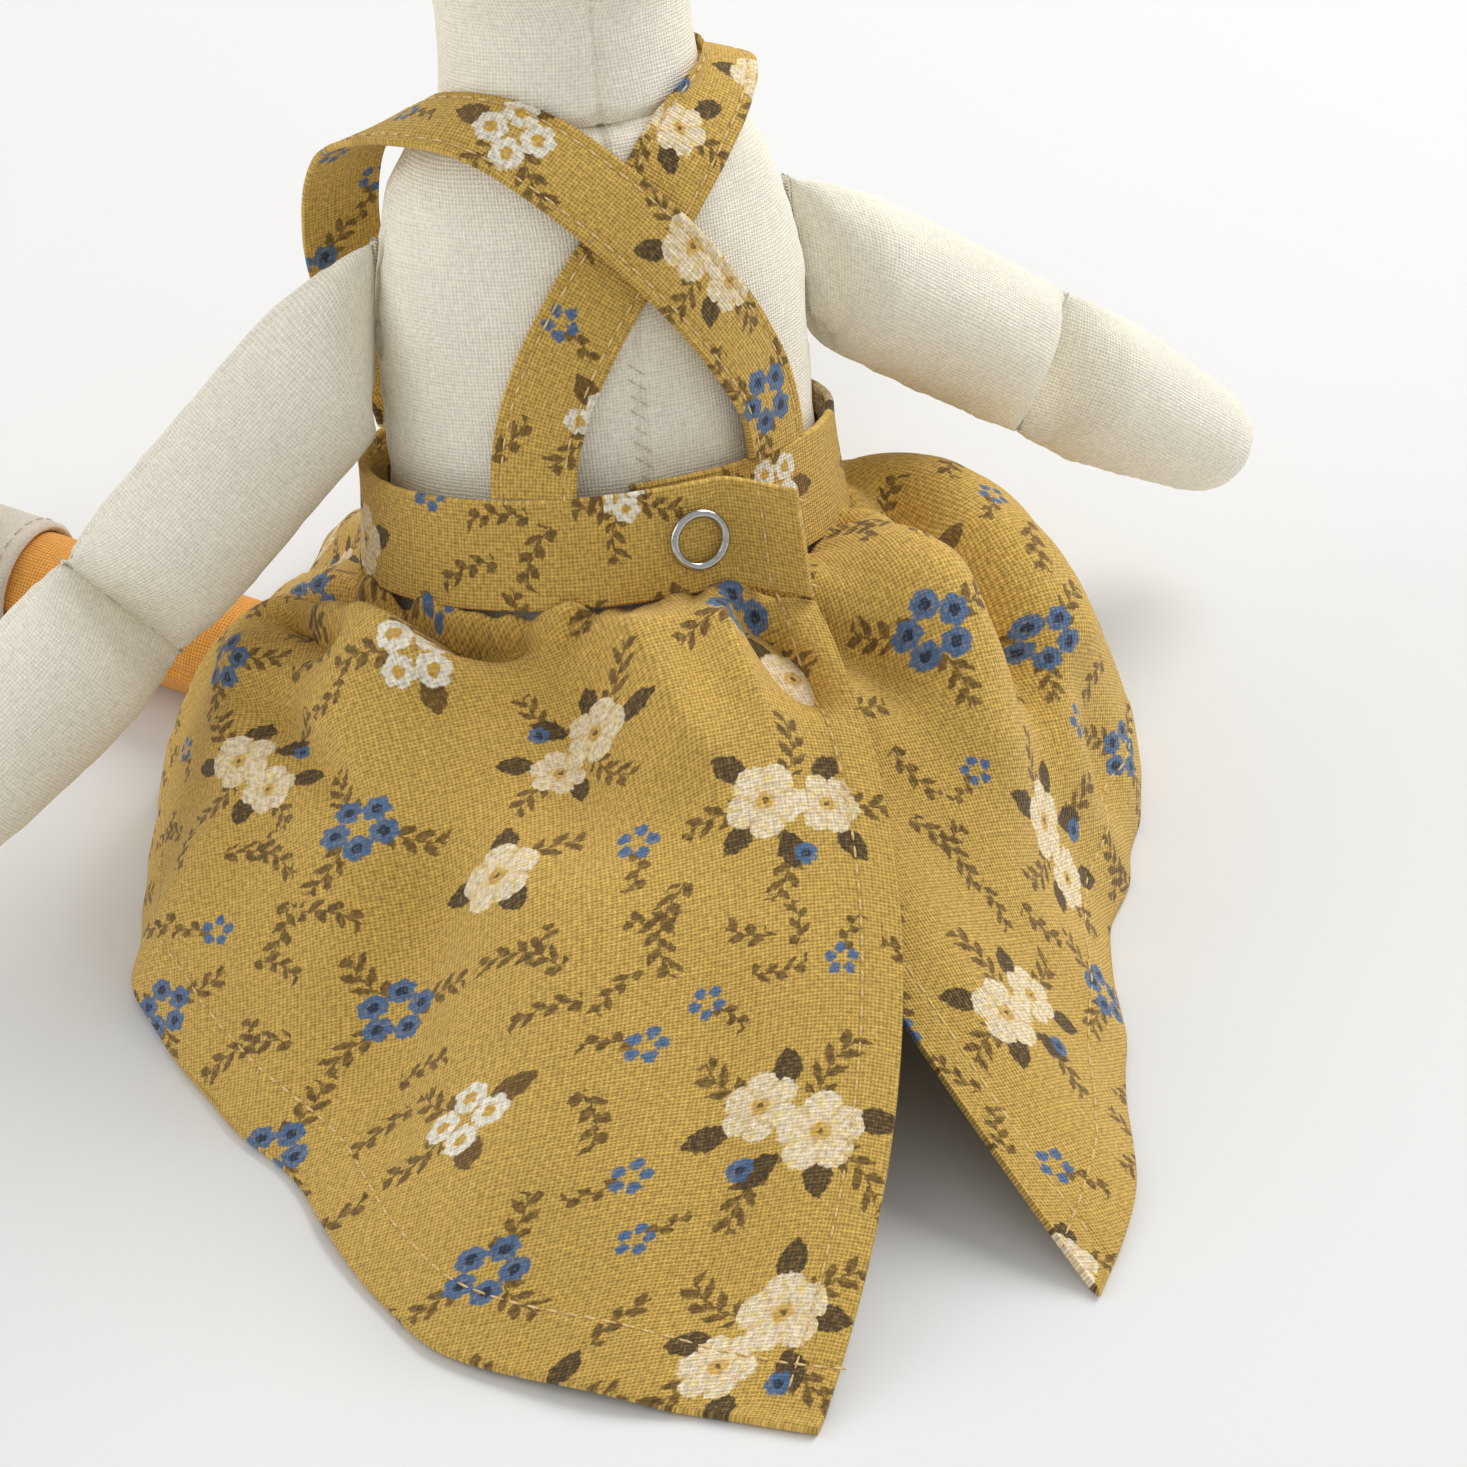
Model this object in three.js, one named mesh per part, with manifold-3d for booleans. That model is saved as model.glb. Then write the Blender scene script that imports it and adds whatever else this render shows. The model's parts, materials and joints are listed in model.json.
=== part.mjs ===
// Seated cloth duck in a wrap-back skirt with crossed straps, in millimetres, +Z up.
// The duck faces -Y and its left side is +X. The origin lies on the flat seat, below the waist.
import * as THREE from "three";
import { mergeVertices } from "three/addons/utils/BufferGeometryUtils.js";
import Module from "manifold-3d";

const wasm = await Module();
wasm.setup();
const { Manifold, Mesh: SolidMesh } = wasm;
const { degToRad, radToDeg, clamp, lerp, smoothstep } = THREE.MathUtils;

// Cloth and clearances
const SKIN = 0.9;
const SKIRT_CLOTH = 1.0;
const BAND_CLOTH = 1.2;
const STRAP_CLOTH = 1.1;
const SEAM_GAP = 0.3;
const FILLING_GAP = 0.5;
const HINGE_GAP = 0.6;
const HINGE_EDGE = 1.0;
const FLOOR_GAP = 0.2;

// Torso and head: rows of height along the leaning axis, half width, half depth, forward shift
const WAIST_HEIGHT = 58;
const LEAN = degToRad(15);
const NECK_SEAM = 60;
const TORSO = [
  [-76, 20, 16, 0],
  [-66, 36, 30, 0],
  [-54, 40.5, 33, 0],
  [-34, 42, 34, 0],
  [-8, 34.5, 26.5, 0],
  [8, 33, 25.5, 0],
  [28, 33, 25, 0],
  [48, 29.5, 22, 0],
  [56, 25, 20, 0],
  [NECK_SEAM, 20, 18.2, 0],
];
const HEAD = [
  [NECK_SEAM, 20, 18.2, 0],
  [74, 18.8, 18, 0.5],
  [86, 21.5, 22.5, 2.5],
  [100, 25, 28, 5],
  [112, 25.5, 28.5, 5.5],
  [123, 21, 23.5, 4.5],
  [131, 12.5, 14, 3.5],
  [134.5, 2.5, 3, 3],
];
const TORSO_CUTS = [-76, -66, -54, -44, -34, -21, -8, 8, 28, 39, 48, 53, NECK_SEAM];
const HEAD_CUTS = [NECK_SEAM, 74, 80, 86, 93, 100, 112, 118, 124, 128, 131, 133, 134.5];
const BODY_SIDES = 24;
const CORE_SIDES = 14;
const LIMB_SIDES = 16;
const LIMB_CORE_SIDES = 10;
const BOOT_SIDES = 18;

// Beak and eyes, in the leaning frame
const BEAK_HEIGHT = 102;
const BEAK_ROOT = 20;
const BEAK_TIP = 57;
const BILL_WIDTHS = [[0, 12], [0.45, 11.5], [0.72, 12.5], [0.9, 9.5], [1, 3]];
const UPPER_BILL = [[0, 9.5], [0.45, 7.5], [0.72, 5.2], [0.9, 3.8], [1, 1.6]];
const LOWER_BILL = [[0, 6.5], [0.45, 5], [0.72, 3.8], [0.9, 2.8], [1, 1.2]];
const LOWER_BILL_SHARE = 0.92;
const EYE_DIAMETER = 5.4;
const EYE_BULGE = 0.62;
const EYE_HEIGHT = 110;
const EYE_ANGLE = degToRad(128);

// Arms: sewn into the side seams, with a stitched elbow
const ARM_HEIGHT = 32;
const ARM_ROOT_HALF = 12;
const ARM_HALF_WIDTH = 12.4;
const ARM_HALF_THICK = 11.6;
const UPPER_ARM = 57;
const FOREARM = 52;
const ARM_WEDGE = 13;
const ELBOW_WEDGE = 12;
const HAND_ROUND = 11;
const HAND_TAPER = 0.3;
const LEFT_DROOP = degToRad(41);
const RIGHT_DROOP = degToRad(33);
const LEFT_SWING = degToRad(5);
const RIGHT_SWING = degToRad(24);

// Legs: sewn into the bottom seam, one flung wider than the other, each in a felt boot
const LEG_SEAM_ANGLE = degToRad(41);
const LEFT_SPLAY = degToRad(45);
const RIGHT_SPLAY = degToRad(11);
const LEG_LENGTH = 102;
const LEG_HALF_WIDTH = 9.4;
const LEG_HALF_THICK = 9;
const LEG_WEDGE = 18;
const LEG_ROOT_HEIGHT = 2.4;
const FOOT_ROUND = 7.5;
const BOOT_WALL = 1.5;
const BOOT_TOP = 75;
const BOOT_SOLE_AT = 113;
const FOOT_HALF_LENGTH = 16;
const FOOT_HALF_WIDTH = 11.8;
const FOOT_RISE = 6;
const SOLE = 3;

// Waistband: wound outward from the underlap to the tab; angles run from the back to the duck's left
const BAND_HEIGHT = 16.5;
const BAND_INNER = 1.2;
const BAND_OUTER = 4.4;
const UNDERLAP_END = 365;
const TAB_ROOT = 12;
const TAB_END = -26.5;
const SNAP_ANGLE = -8;
const FLARE_FROM = -13.5;
const TAB_FLARE = 7.5;
const TAB_DROOP = 2.5;

// Ring snap
const RING_DIAMETER = 9.5;
const RING_WIRE = 1.4;
const SOCKET_DIAMETER = 8.4;
const SOCKET_BORE = 5.4;
const SOCKET_DEPTH = 1.1;
const STUD_DIAMETER = 4.4;
const STUD_DEPTH = 1.3;
const BACK_RING_DIAMETER = 7.4;
const BACK_RING_DEPTH = 0.5;

// Skirt: hem rows of polar angle, distance and height; bulge rows of angle, lifts and pushes
const HEM_START = 5;
const HEM_SWEEP = 341;
const HEM = [
  [5, 148, 0.7], [16.6, 137, 0.7], [26, 131, 0.7], [30.5, 124, 0.7], [41, 106, 0.7], [57, 96, 0.7],
  [74.5, 84, 0.7], [92, 75, 0.7], [106, 70, 2.5], [124, 66, 22], [147, 80, 7], [180, 94, 5],
  [208, 88, 22], [232, 73, 5], [252, 74, 2], [268, 84, 0.7], [300, 84, 0.7], [318, 91, 0.7],
  [330, 104, 0.7], [340, 126, 0.7], [346, 138, 0.7],
];
const BULGE = [
  [5, 4, 4, 0, 0], [45, 8, 8, 2, 2], [75, 16, 18, 3, 5], [95, 15, 16, 2, 4], [128, 8, 4, 0, 0],
  [180, 6, 6, 0, 0], [232, 8, 6, 0, 0], [262, 20, 20, 2, 6], [300, 22, 25, 6, 11],
  [325, 12, 14, 3, 4], [346, 2, 2, 0, 0],
];
const SWAY = [[5, 17], [30, 5], [60, 0], [290, 0], [346, -4]];
const LEFT_SIDE_SEAM = 0.3;
const RIGHT_SIDE_SEAM = 0.72;
const SKIRT_STEPS = 10;
const LEG_CLEARANCE = 2;
const LEG_LAP = 1.5;
// Main folds: place at the waist, drift to the hem, width, depth, start and end down the cloth
const FOLDS = [
  { at: 0.222, drift: 0.06, width: 0.016, depth: -4.5, from: 0.0, to: 0.36 },
  { at: 0.265, drift: -0.24, width: 0.016, depth: 3.2, from: 0.12, to: 0.72 },
  { at: 0.176, drift: -0.3, width: 0.012, depth: -2.6, from: 0.0, to: 0.3 },
  { at: 0.1, drift: -0.23, width: 0.011, depth: -4.0, from: 0.0, to: 0.45 },
  { at: 0.073, drift: -0.2, width: 0.01, depth: 2.4, from: 0.0, to: 0.5 },
  { at: 0.049, drift: -0.15, width: 0.01, depth: -3.4, from: 0.0, to: 0.34 },
  { at: 0.132, drift: 0.02, width: 0.03, depth: 3.0, from: 0.3, to: 1.1 },
  { at: 0.4, drift: 0.05, width: 0.02, depth: 3.0, from: 0.0, to: 0.8 },
  { at: 0.46, drift: 0.0, width: 0.02, depth: -3.0, from: 0.0, to: 0.9 },
  { at: 0.53, drift: 0.0, width: 0.02, depth: 3.2, from: 0.0, to: 0.9 },
  { at: 0.6, drift: 0.0, width: 0.02, depth: -3.0, from: 0.0, to: 0.9 },
  { at: 0.755, drift: 0.36, width: 0.016, depth: -4.2, from: 0.0, to: 0.42 },
  { at: 0.83, drift: 0.1, width: 0.022, depth: 3.2, from: 0.15, to: 1.1 },
];

// Straps: rows of angle, height, stand-off, facing angle and facing rise along the path
const STRAP_WIDTH = 12.5;
const LEFT_STRAP = [
  [-37, 4, 2.2, -37, 4], [-36.5, 12, 2.3, -36, 4], [-33.5, 19, 2.4, -34, 5], [-25, 28, 2.8, -25, 8],
  [-15.5, 36.5, 4, -14, 12], [-5, 45, 4.3, -4, 18], [7.5, 52.5, 3.8, 8, 30], [26, 58.5, 3.2, 28, 47],
  [47, 62, 3.8, 55, 57], [71, 62.3, 5.4, 88, 66], [93, 59.8, 7.4, 130, 62], [109, 54.5, 8, 158, 34],
  [119.5, 45, 8.4, 167, 4], [126.5, 34, 8.2, 170, -6], [131, 21.5, 6, 164, -10], [134, 12, 4.2, 145, -4],
  [135, 4, 3.9, 138, 0],
];
const RIGHT_STRAP = [
  [28, 4, 4.8, 28, 4], [27.5, 12, 3.4, 27, 4], [25, 19, 2, 25, 5], [19, 27, 1.5, 19, 8],
  [10, 35.5, 1.4, 10, 10], [0, 42.6, 1.4, 0, 16], [-13, 50.6, 1.5, -12, 28], [-31, 57.2, 1.6, -30, 44],
  [-59, 62, 2.2, -62, 60], [-88, 64, 2.8, -88, 70], [-112, 62.5, 3.2, -130, 66],
  [-130, 56.5, 3.4, -166, 34], [-139, 46, 2.6, -162, 6], [-143, 34, 2, -154, 0],
  [-145, 21, 1.8, -150, -2], [-146, 11, 2, -148, -2], [-146, 4, 2.6, -146, 0],
];
const STRAP_STEPS = 26;
const LEVEL_PUSH_FROM = 57;
const LEVEL_PUSH_TO = 61;

const MATERIALS = {
  linen: { color: 0xded8cb, roughness: 0.95 },
  stuffing: { color: 0xf4f2ec, roughness: 1 },
  legLinen: { color: 0xdcaa63, roughness: 0.95 },
  printedLinen: { color: 0xd0ae62, roughness: 0.95 },
  felt: { color: 0xc4b8a6, roughness: 1 },
  soleFelt: { color: 0xe6dfd0, roughness: 1 },
  snapSteel: { color: 0xc8cbd0, roughness: 0.25, metalness: 1 },
  eyeGloss: { color: 0x15120f, roughness: 0.3 },
};
const material = Object.fromEntries(
  Object.entries(MATERIALS).map(([name, look]) => {
    const made = new THREE.MeshStandardMaterial(look);
    made.name = name;
    return [name, made];
  }),
);

const vec = (x, y, z) => new THREE.Vector3(x, y, z);
const leanMatrix = new THREE.Matrix4()
  .makeTranslation(0, 0, WAIST_HEIGHT)
  .multiply(new THREE.Matrix4().makeRotationX(LEAN));
const unleanMatrix = leanMatrix.clone().invert();

/** Smooth monotone curve through rows whose first entry is the position. */
function through(rows, at) {
  const last = rows.length - 1;
  const x = clamp(at, rows[0][0], rows[last][0]);
  let i = 0;
  while (i < last - 1 && x > rows[i + 1][0]) i += 1;
  const slope = (k, c) => (rows[k + 1][c] - rows[k][c]) / (rows[k + 1][0] - rows[k][0]);
  const tangent = (k, c) => {
    if (k === 0) return slope(0, c);
    if (k === last) return slope(last - 1, c);
    const product = slope(k - 1, c) * slope(k, c);
    return product > 0 ? (2 * product) / (slope(k - 1, c) + slope(k, c)) : 0;
  };
  const span = rows[i + 1][0] - rows[i][0];
  const u = (x - rows[i][0]) / span;
  const values = [];
  for (let c = 1; c < rows[0].length; c += 1) {
    values.push(
      rows[i][c] * (2 * u ** 3 - 3 * u ** 2 + 1) +
        tangent(i, c) * span * (u ** 3 - 2 * u ** 2 + u) +
        rows[i + 1][c] * (3 * u ** 2 - 2 * u ** 3) +
        tangent(i + 1, c) * span * (u ** 3 - u ** 2),
    );
  }
  return values;
}

/** Closed solid from points and triangles, turned to face outward. */
function solidFrom(points, triangles) {
  let volume = 0;
  triangles.forEach(([a, b, c]) => {
    volume += points[a].dot(points[b].clone().cross(points[c]));
  });
  const faces = volume < 0 ? triangles.map(([a, b, c]) => [a, c, b]) : triangles;
  return new Manifold(
    new SolidMesh({
      numProp: 3,
      vertProperties: Float32Array.from(points.flatMap((p) => [p.x, p.y, p.z])),
      triVerts: Uint32Array.from(faces.flat()),
    }),
  );
}

/** Solid from a three.js primitive. */
function solidOf(geometry) {
  const bare = new THREE.BufferGeometry();
  bare.setAttribute("position", geometry.getAttribute("position"));
  bare.setIndex(geometry.getIndex());
  const merged = mergeVertices(bare, 1e-4);
  const position = merged.getAttribute("position");
  const points = [];
  for (let i = 0; i < position.count; i += 1) points.push(vec().fromBufferAttribute(position, i));
  const index = Array.from(merged.getIndex().array);
  const triangles = [];
  for (let i = 0; i < index.length; i += 3) {
    const [a, b, c] = index.slice(i, i + 3);
    if (a !== b && b !== c && c !== a) triangles.push([a, b, c]);
  }
  return solidFrom(points, triangles);
}

/** Closed solid over a row of rings with equal point counts, capped at both ends. */
function loft(rings) {
  const count = rings[0].length;
  const points = rings.flat();
  const triangles = [];
  for (let r = 0; r < rings.length - 1; r += 1) {
    for (let k = 0; k < count; k += 1) {
      const next = (k + 1) % count;
      const [a, b] = [r * count + k, r * count + next];
      triangles.push([a, b, b + count], [a, b + count, a + count]);
    }
  }
  [0, rings.length - 1].forEach((r, end) => {
    const middle = rings[r].reduce((sum, p) => sum.add(p), vec(0, 0, 0)).divideScalar(count);
    points.push(middle);
    for (let k = 0; k < count; k += 1) {
      const edge = [r * count + k, r * count + ((k + 1) % count)];
      triangles.push(end ? [...edge, points.length - 1] : [...edge.reverse(), points.length - 1]);
    }
  });
  return solidFrom(points, triangles);
}

/** Box solid between two corners. */
function block(low, high) {
  const size = high.clone().sub(low);
  const middle = high.clone().add(low).multiplyScalar(0.5);
  const box = new THREE.BoxGeometry(size.x, size.y, size.z).translate(middle.x, middle.y, middle.z);
  return solidOf(box);
}

const FAR = 400;
const frontHalf = block(vec(-FAR, -FAR, -FAR), vec(FAR, -SEAM_GAP / 2, FAR));
const backHalf = block(vec(-FAR, SEAM_GAP / 2, -FAR), vec(FAR, FAR, FAR));
const leftHalf = block(vec(SEAM_GAP / 2, -FAR, -FAR), vec(FAR, FAR, FAR));
const rightHalf = block(vec(-FAR, -FAR, -FAR), vec(-SEAM_GAP / 2, FAR, FAR));

/** Named mesh of a solid. */
function node(name, solid, finish) {
  const data = solid.getMesh();
  const geometry = new THREE.BufferGeometry();
  geometry.setAttribute("position", new THREE.BufferAttribute(new Float32Array(data.vertProperties), 3));
  geometry.setIndex(Array.from(data.triVerts));
  geometry.computeVertexNormals();
  const mesh = new THREE.Mesh(geometry, finish);
  mesh.name = name;
  return mesh;
}

/** Half width, half depth and forward shift of the torso or head at a height. */
function bodySection(height) {
  return through(height <= NECK_SEAM ? TORSO : HEAD, height);
}

/** Ring of the body at a height, in the leaning frame; angle 0 is the back. */
function bodyRing(height, inset, sides) {
  const [halfWidth, halfDepth, shift] = bodySection(height);
  return Array.from({ length: sides }, (_, k) => {
    const angle = (2 * Math.PI * k) / sides;
    return vec(
      Math.max(halfWidth - inset, 0.4) * Math.sin(angle),
      Math.max(halfDepth - inset, 0.4) * Math.cos(angle) - shift,
      height,
    );
  });
}

/** Point off the torso by an angle from the back, a height and a distance, in the leaning frame. */
function offTorso(angle, height, distance) {
  const [halfWidth, halfDepth, shift] = bodySection(height);
  const turn = degToRad(angle);
  return vec(
    (halfWidth + distance) * Math.sin(turn),
    (halfDepth + distance) * Math.cos(turn) - shift,
    height,
  );
}

/** Body solid between two heights, inset from the skin's outer face. */
function bodySolid(cuts, inset, sides) {
  const [low, high] = [cuts[0], cuts[cuts.length - 1]];
  const inside = cuts.filter((h) => h > low + 2 * inset + 1 && h < high - 2 * inset - 1);
  const heights = [low + inset, ...inside, high - inset];
  return loft(heights.map((h) => bodyRing(h, inset, sides)));
}

/** Everything below a level in the world, as a solid in the leaning frame. */
function belowLevel(level) {
  const box = block(vec(-FAR, -FAR, -FAR), vec(FAR, FAR, level));
  return box.transform(unleanMatrix.elements);
}

/** Torso panels and stuffing. */
function torso() {
  const outer = bodySolid(TORSO_CUTS, 0, BODY_SIDES).subtract(belowLevel(0));
  const inner = bodySolid(TORSO_CUTS, SKIN, CORE_SIDES).subtract(belowLevel(SKIN));
  const filling = bodySolid(TORSO_CUTS, SKIN + FILLING_GAP, CORE_SIDES).subtract(belowLevel(SKIN + FILLING_GAP));
  const skin = outer.subtract(inner);
  const back = skin.intersect(backHalf);
  return [
    node("torso_front", skin.intersect(frontHalf), material.linen),
    node("torso_back_left", back.intersect(leftHalf), material.linen),
    node("torso_back_right", back.intersect(rightHalf), material.linen),
    node("torso_stuffing", filling, material.stuffing),
  ];
}

/** Head panels and stuffing, seated on the neck seam. */
function head() {
  const cuts = [NECK_SEAM + SEAM_GAP, ...HEAD_CUTS.slice(1)];
  const skin = bodySolid(cuts, 0, BODY_SIDES).subtract(bodySolid(cuts, SKIN, CORE_SIDES));
  return [
    node("head_left", skin.intersect(leftHalf), material.linen),
    node("head_right", skin.intersect(rightHalf), material.linen),
    node("head_stuffing", bodySolid(cuts, SKIN + FILLING_GAP, CORE_SIDES), material.stuffing),
  ];
}

/** One half of the beak: a flat mouth side and a domed side, cut to the face. */
function bill(name, rows, share, side) {
  const steps = [0, 0.45, 0.6, 0.72, 0.82, 0.9, 0.96, 1];
  const rings = steps.map((u) => {
    const [halfWidth] = through(BILL_WIDTHS, u);
    const [height] = through(rows, u);
    const y = -lerp(BEAK_ROOT, BEAK_ROOT + (BEAK_TIP - BEAK_ROOT) * share, u);
    return Array.from({ length: 9 }, (_, k) => {
      const angle = (Math.PI * k) / 8;
      const rise = SEAM_GAP / 2 + height * Math.sin(angle);
      return vec(halfWidth * share * Math.cos(angle), y, BEAK_HEIGHT + side * rise);
    });
  });
  const face = bodySolid(HEAD_CUTS, -SEAM_GAP, BODY_SIDES);
  return node(name, loft(rings).subtract(face), material.legLinen);
}

/** Domed eye on one side of the head. */
function eye(name, side) {
  const [halfWidth, halfDepth, shift] = bodySection(EYE_HEIGHT);
  const place = vec(
    side * halfWidth * Math.sin(EYE_ANGLE),
    halfDepth * Math.cos(EYE_ANGLE) - shift,
    EYE_HEIGHT,
  );
  const out = vec(place.x / halfWidth ** 2, (place.y + shift) / halfDepth ** 2, 0).normalize();
  const dome = new THREE.SphereGeometry(EYE_DIAMETER / 2, 12, 8).scale(1, 1, EYE_BULGE);
  dome.applyQuaternion(new THREE.Quaternion().setFromUnitVectors(vec(0, 0, 1), out));
  dome.translate(place.x, place.y, place.z);
  const face = bodySolid(HEAD_CUTS, -SEAM_GAP, BODY_SIDES);
  return node(name, solidOf(dome).subtract(face), material.eyeGloss);
}

const rise = (u) => Math.sin((Math.PI / 2) * clamp(u, 0, 1));
const round = (u) => Math.sqrt(1 - (1 - clamp(u, 0, 1)) ** 2);

/** Section of a limb at a distance from its sewn root. */
function limbSection(limb, s) {
  const swell = rise(s / limb.wedge);
  const toEnd = (limb.length - s) / limb.endSpan;
  const end = limb.rounded ? round(toEnd) : rise(toEnd);
  const edge = HINGE_EDGE / 2;
  const thin = 1 - (limb.taper ?? 0) * smoothstep(s, limb.wedge, limb.length);
  const full = lerp(edge, limb.halfThick, swell) * thin;
  const halfThick = limb.rounded ? full * end : lerp(edge, full, end);
  const width = lerp(limb.rootHalf, limb.halfWidth, smoothstep(s, 0, limb.wedge * 1.5)) * thin;
  return {
    halfThick,
    halfWidth: limb.rounded ? width * end : width,
    tilt: limb.droop * smoothstep(s, 0, limb.wedge * 1.3),
    centre: vec(
      s * Math.cos(limb.droop),
      limb.flatBelow ? full - edge : 0,
      -s * Math.sin(limb.droop),
    ),
  };
}

/** Limb solid along its axis in the XZ plane, seam edges on Z, thickness on Y. */
function limbSolid(limb, inset, sides) {
  const startAt = inset > 0 ? limb.wedge * 0.42 : 0;
  const endAt = inset > 0 ? limb.length - (limb.rounded ? 2.2 * inset : limb.endSpan * 0.42) : limb.length;
  const marks = [0, 0.2, 0.5, 1].map((u) => u * limb.wedge);
  const tail = [1, 0.5, 0.2, ...(limb.rounded ? [0.06, 0.012] : [0])].map((u) => limb.length - u * limb.endSpan);
  const middle = [0.5].map((u) => lerp(limb.wedge, limb.length - limb.endSpan, u));
  const outer = [...marks, ...middle, ...tail];
  const inner = outer.filter((s, i) => s > startAt + 1 && s < endAt - 1 && i % 2 === 0);
  const stations = inset > 0 ? [startAt, ...inner, endAt] : outer;
  const rings = stations.map((s) => {
    const cut = limbSection(limb, s);
    const across = vec(Math.sin(cut.tilt), 0, Math.cos(cut.tilt));
    const halfWidth = Math.max(cut.halfWidth - inset, 0.5);
    const halfThick = Math.max(cut.halfThick - inset, 0.3);
    return Array.from({ length: sides }, (_, k) => {
      const angle = (2 * Math.PI * k) / sides;
      const point = cut.centre.clone().addScaledVector(across, halfWidth * Math.cos(angle));
      point.y += halfThick * Math.sin(angle);
      return point;
    });
  });
  return loft(rings);
}

/** Two panels and the stuffing of a limb; the seam between the panels runs at a height on Y. */
function limbNodes(name, limb, sides, finish, seamAt) {
  const outer = limbSolid(limb, 0, LIMB_SIDES);
  const skin = outer.subtract(limbSolid(limb, SKIN, LIMB_CORE_SIDES));
  const low = frontHalf.translate([0, seamAt, 0]);
  const high = backHalf.translate([0, seamAt, 0]);
  return [
    node(`${name}_${sides[0]}`, skin.intersect(low), finish),
    node(`${name}_${sides[1]}`, skin.intersect(high), finish),
    node(`${name}_stuffing`, limbSolid(limb, SKIN + FILLING_GAP, LIMB_CORE_SIDES), material.stuffing),
  ];
}

/** Arm group, hinged on the side seam of the torso, with its forearm group. */
function arm(side, droop, swing) {
  const name = side > 0 ? "left" : "right";
  const [low, mid, high] = [-1, 0, 1].map((u) => bodySection(ARM_HEIGHT + u * ARM_ROOT_HALF)[0]);
  const slope = Math.atan2(low - high, 2 * ARM_ROOT_HALF);
  const bow = Math.max(mid - (low + high) / 2, 0);
  const group = new THREE.Group();
  group.name = `${name}_arm`;
  group.position.set(side * ((low + high) / 2 + bow + HINGE_GAP), 0, ARM_HEIGHT);
  group.rotation.set(0, -side * slope, side > 0 ? swing : Math.PI + swing, "YZX");
  const upper = {
    length: UPPER_ARM, wedge: ARM_WEDGE, endSpan: ELBOW_WEDGE, rootHalf: ARM_ROOT_HALF,
    halfWidth: ARM_HALF_WIDTH, halfThick: ARM_HALF_THICK, droop: droop + slope,
  };
  const sides = side > 0 ? ["front", "back"] : ["back", "front"];
  group.add(...limbNodes(`${name}_upper_arm`, upper, sides, material.linen, 0));
  const forearm = new THREE.Group();
  forearm.name = `${name}_forearm`;
  const reach = UPPER_ARM + HINGE_GAP;
  forearm.position.set(reach * Math.cos(upper.droop), 0, -reach * Math.sin(upper.droop));
  forearm.rotation.y = upper.droop;
  const lower = {
    length: FOREARM, wedge: ELBOW_WEDGE, endSpan: HAND_ROUND, rounded: true, rootHalf: ARM_HALF_WIDTH,
    halfWidth: ARM_HALF_WIDTH, halfThick: ARM_HALF_THICK, droop: 0, taper: HAND_TAPER,
  };
  forearm.add(...limbNodes(`${name}_forearm`, lower, sides, material.linen, 0));
  group.add(forearm);
  return group;
}

/** Torso points near a height above the seat. */
function torsoPointsNear(height) {
  const points = [];
  for (let h = TORSO[0][0]; h < 0; h += 0.25) {
    const ring = bodyRing(h, 0, 90).map((p) => p.applyMatrix4(leanMatrix));
    points.push(...ring.filter((p) => Math.abs(p.z - height) < HINGE_EDGE / 2));
  }
  return points;
}

const levelDirection = (side, splay) => vec(side * Math.sin(splay), -Math.cos(splay), 0);
const legDirection = (side) => levelDirection(side, side > 0 ? LEFT_SPLAY : RIGHT_SPLAY);
const besideLeg = (from, direction) => Math.abs(from.x * direction.y - from.y * direction.x);

/** Middle of a leg's root edge: at its place on the bottom seam, clear of the torso along the leg. */
function legRoot(side) {
  const points = torsoPointsNear(LEG_ROOT_HEIGHT);
  const outward = levelDirection(side, LEG_SEAM_ANGLE);
  const seam = points.reduce((best, p) => (p.dot(outward) > best.dot(outward) ? p : best));
  const direction = legDirection(side);
  const offsets = points.map((p) => p.clone().sub(seam));
  const ahead = offsets.filter((from) => besideLeg(from, direction) < LEG_HALF_WIDTH);
  const reach = Math.max(...ahead.map((from) => from.dot(direction)));
  const root = seam.clone().addScaledVector(direction, reach + HINGE_GAP);
  root.z = LEG_ROOT_HEIGHT;
  return root;
}

const LEG = {
  length: LEG_LENGTH, wedge: LEG_WEDGE, endSpan: FOOT_ROUND, rounded: true, rootHalf: LEG_HALF_WIDTH,
  halfWidth: LEG_HALF_WIDTH, halfThick: LEG_HALF_THICK, droop: 0, flatBelow: true,
};
const LEG_AXIS = LEG_HALF_THICK - HINGE_EDGE / 2;

/** Oval ring across a leg: distance, middle height, half height and half width. */
function legRing(s, middle, halfHeight, halfWidth, sides) {
  return Array.from({ length: sides }, (_, k) => {
    const angle = (2 * Math.PI * k) / sides;
    return vec(s, middle + halfHeight * Math.sin(angle), halfWidth * Math.cos(angle));
  });
}

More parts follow.
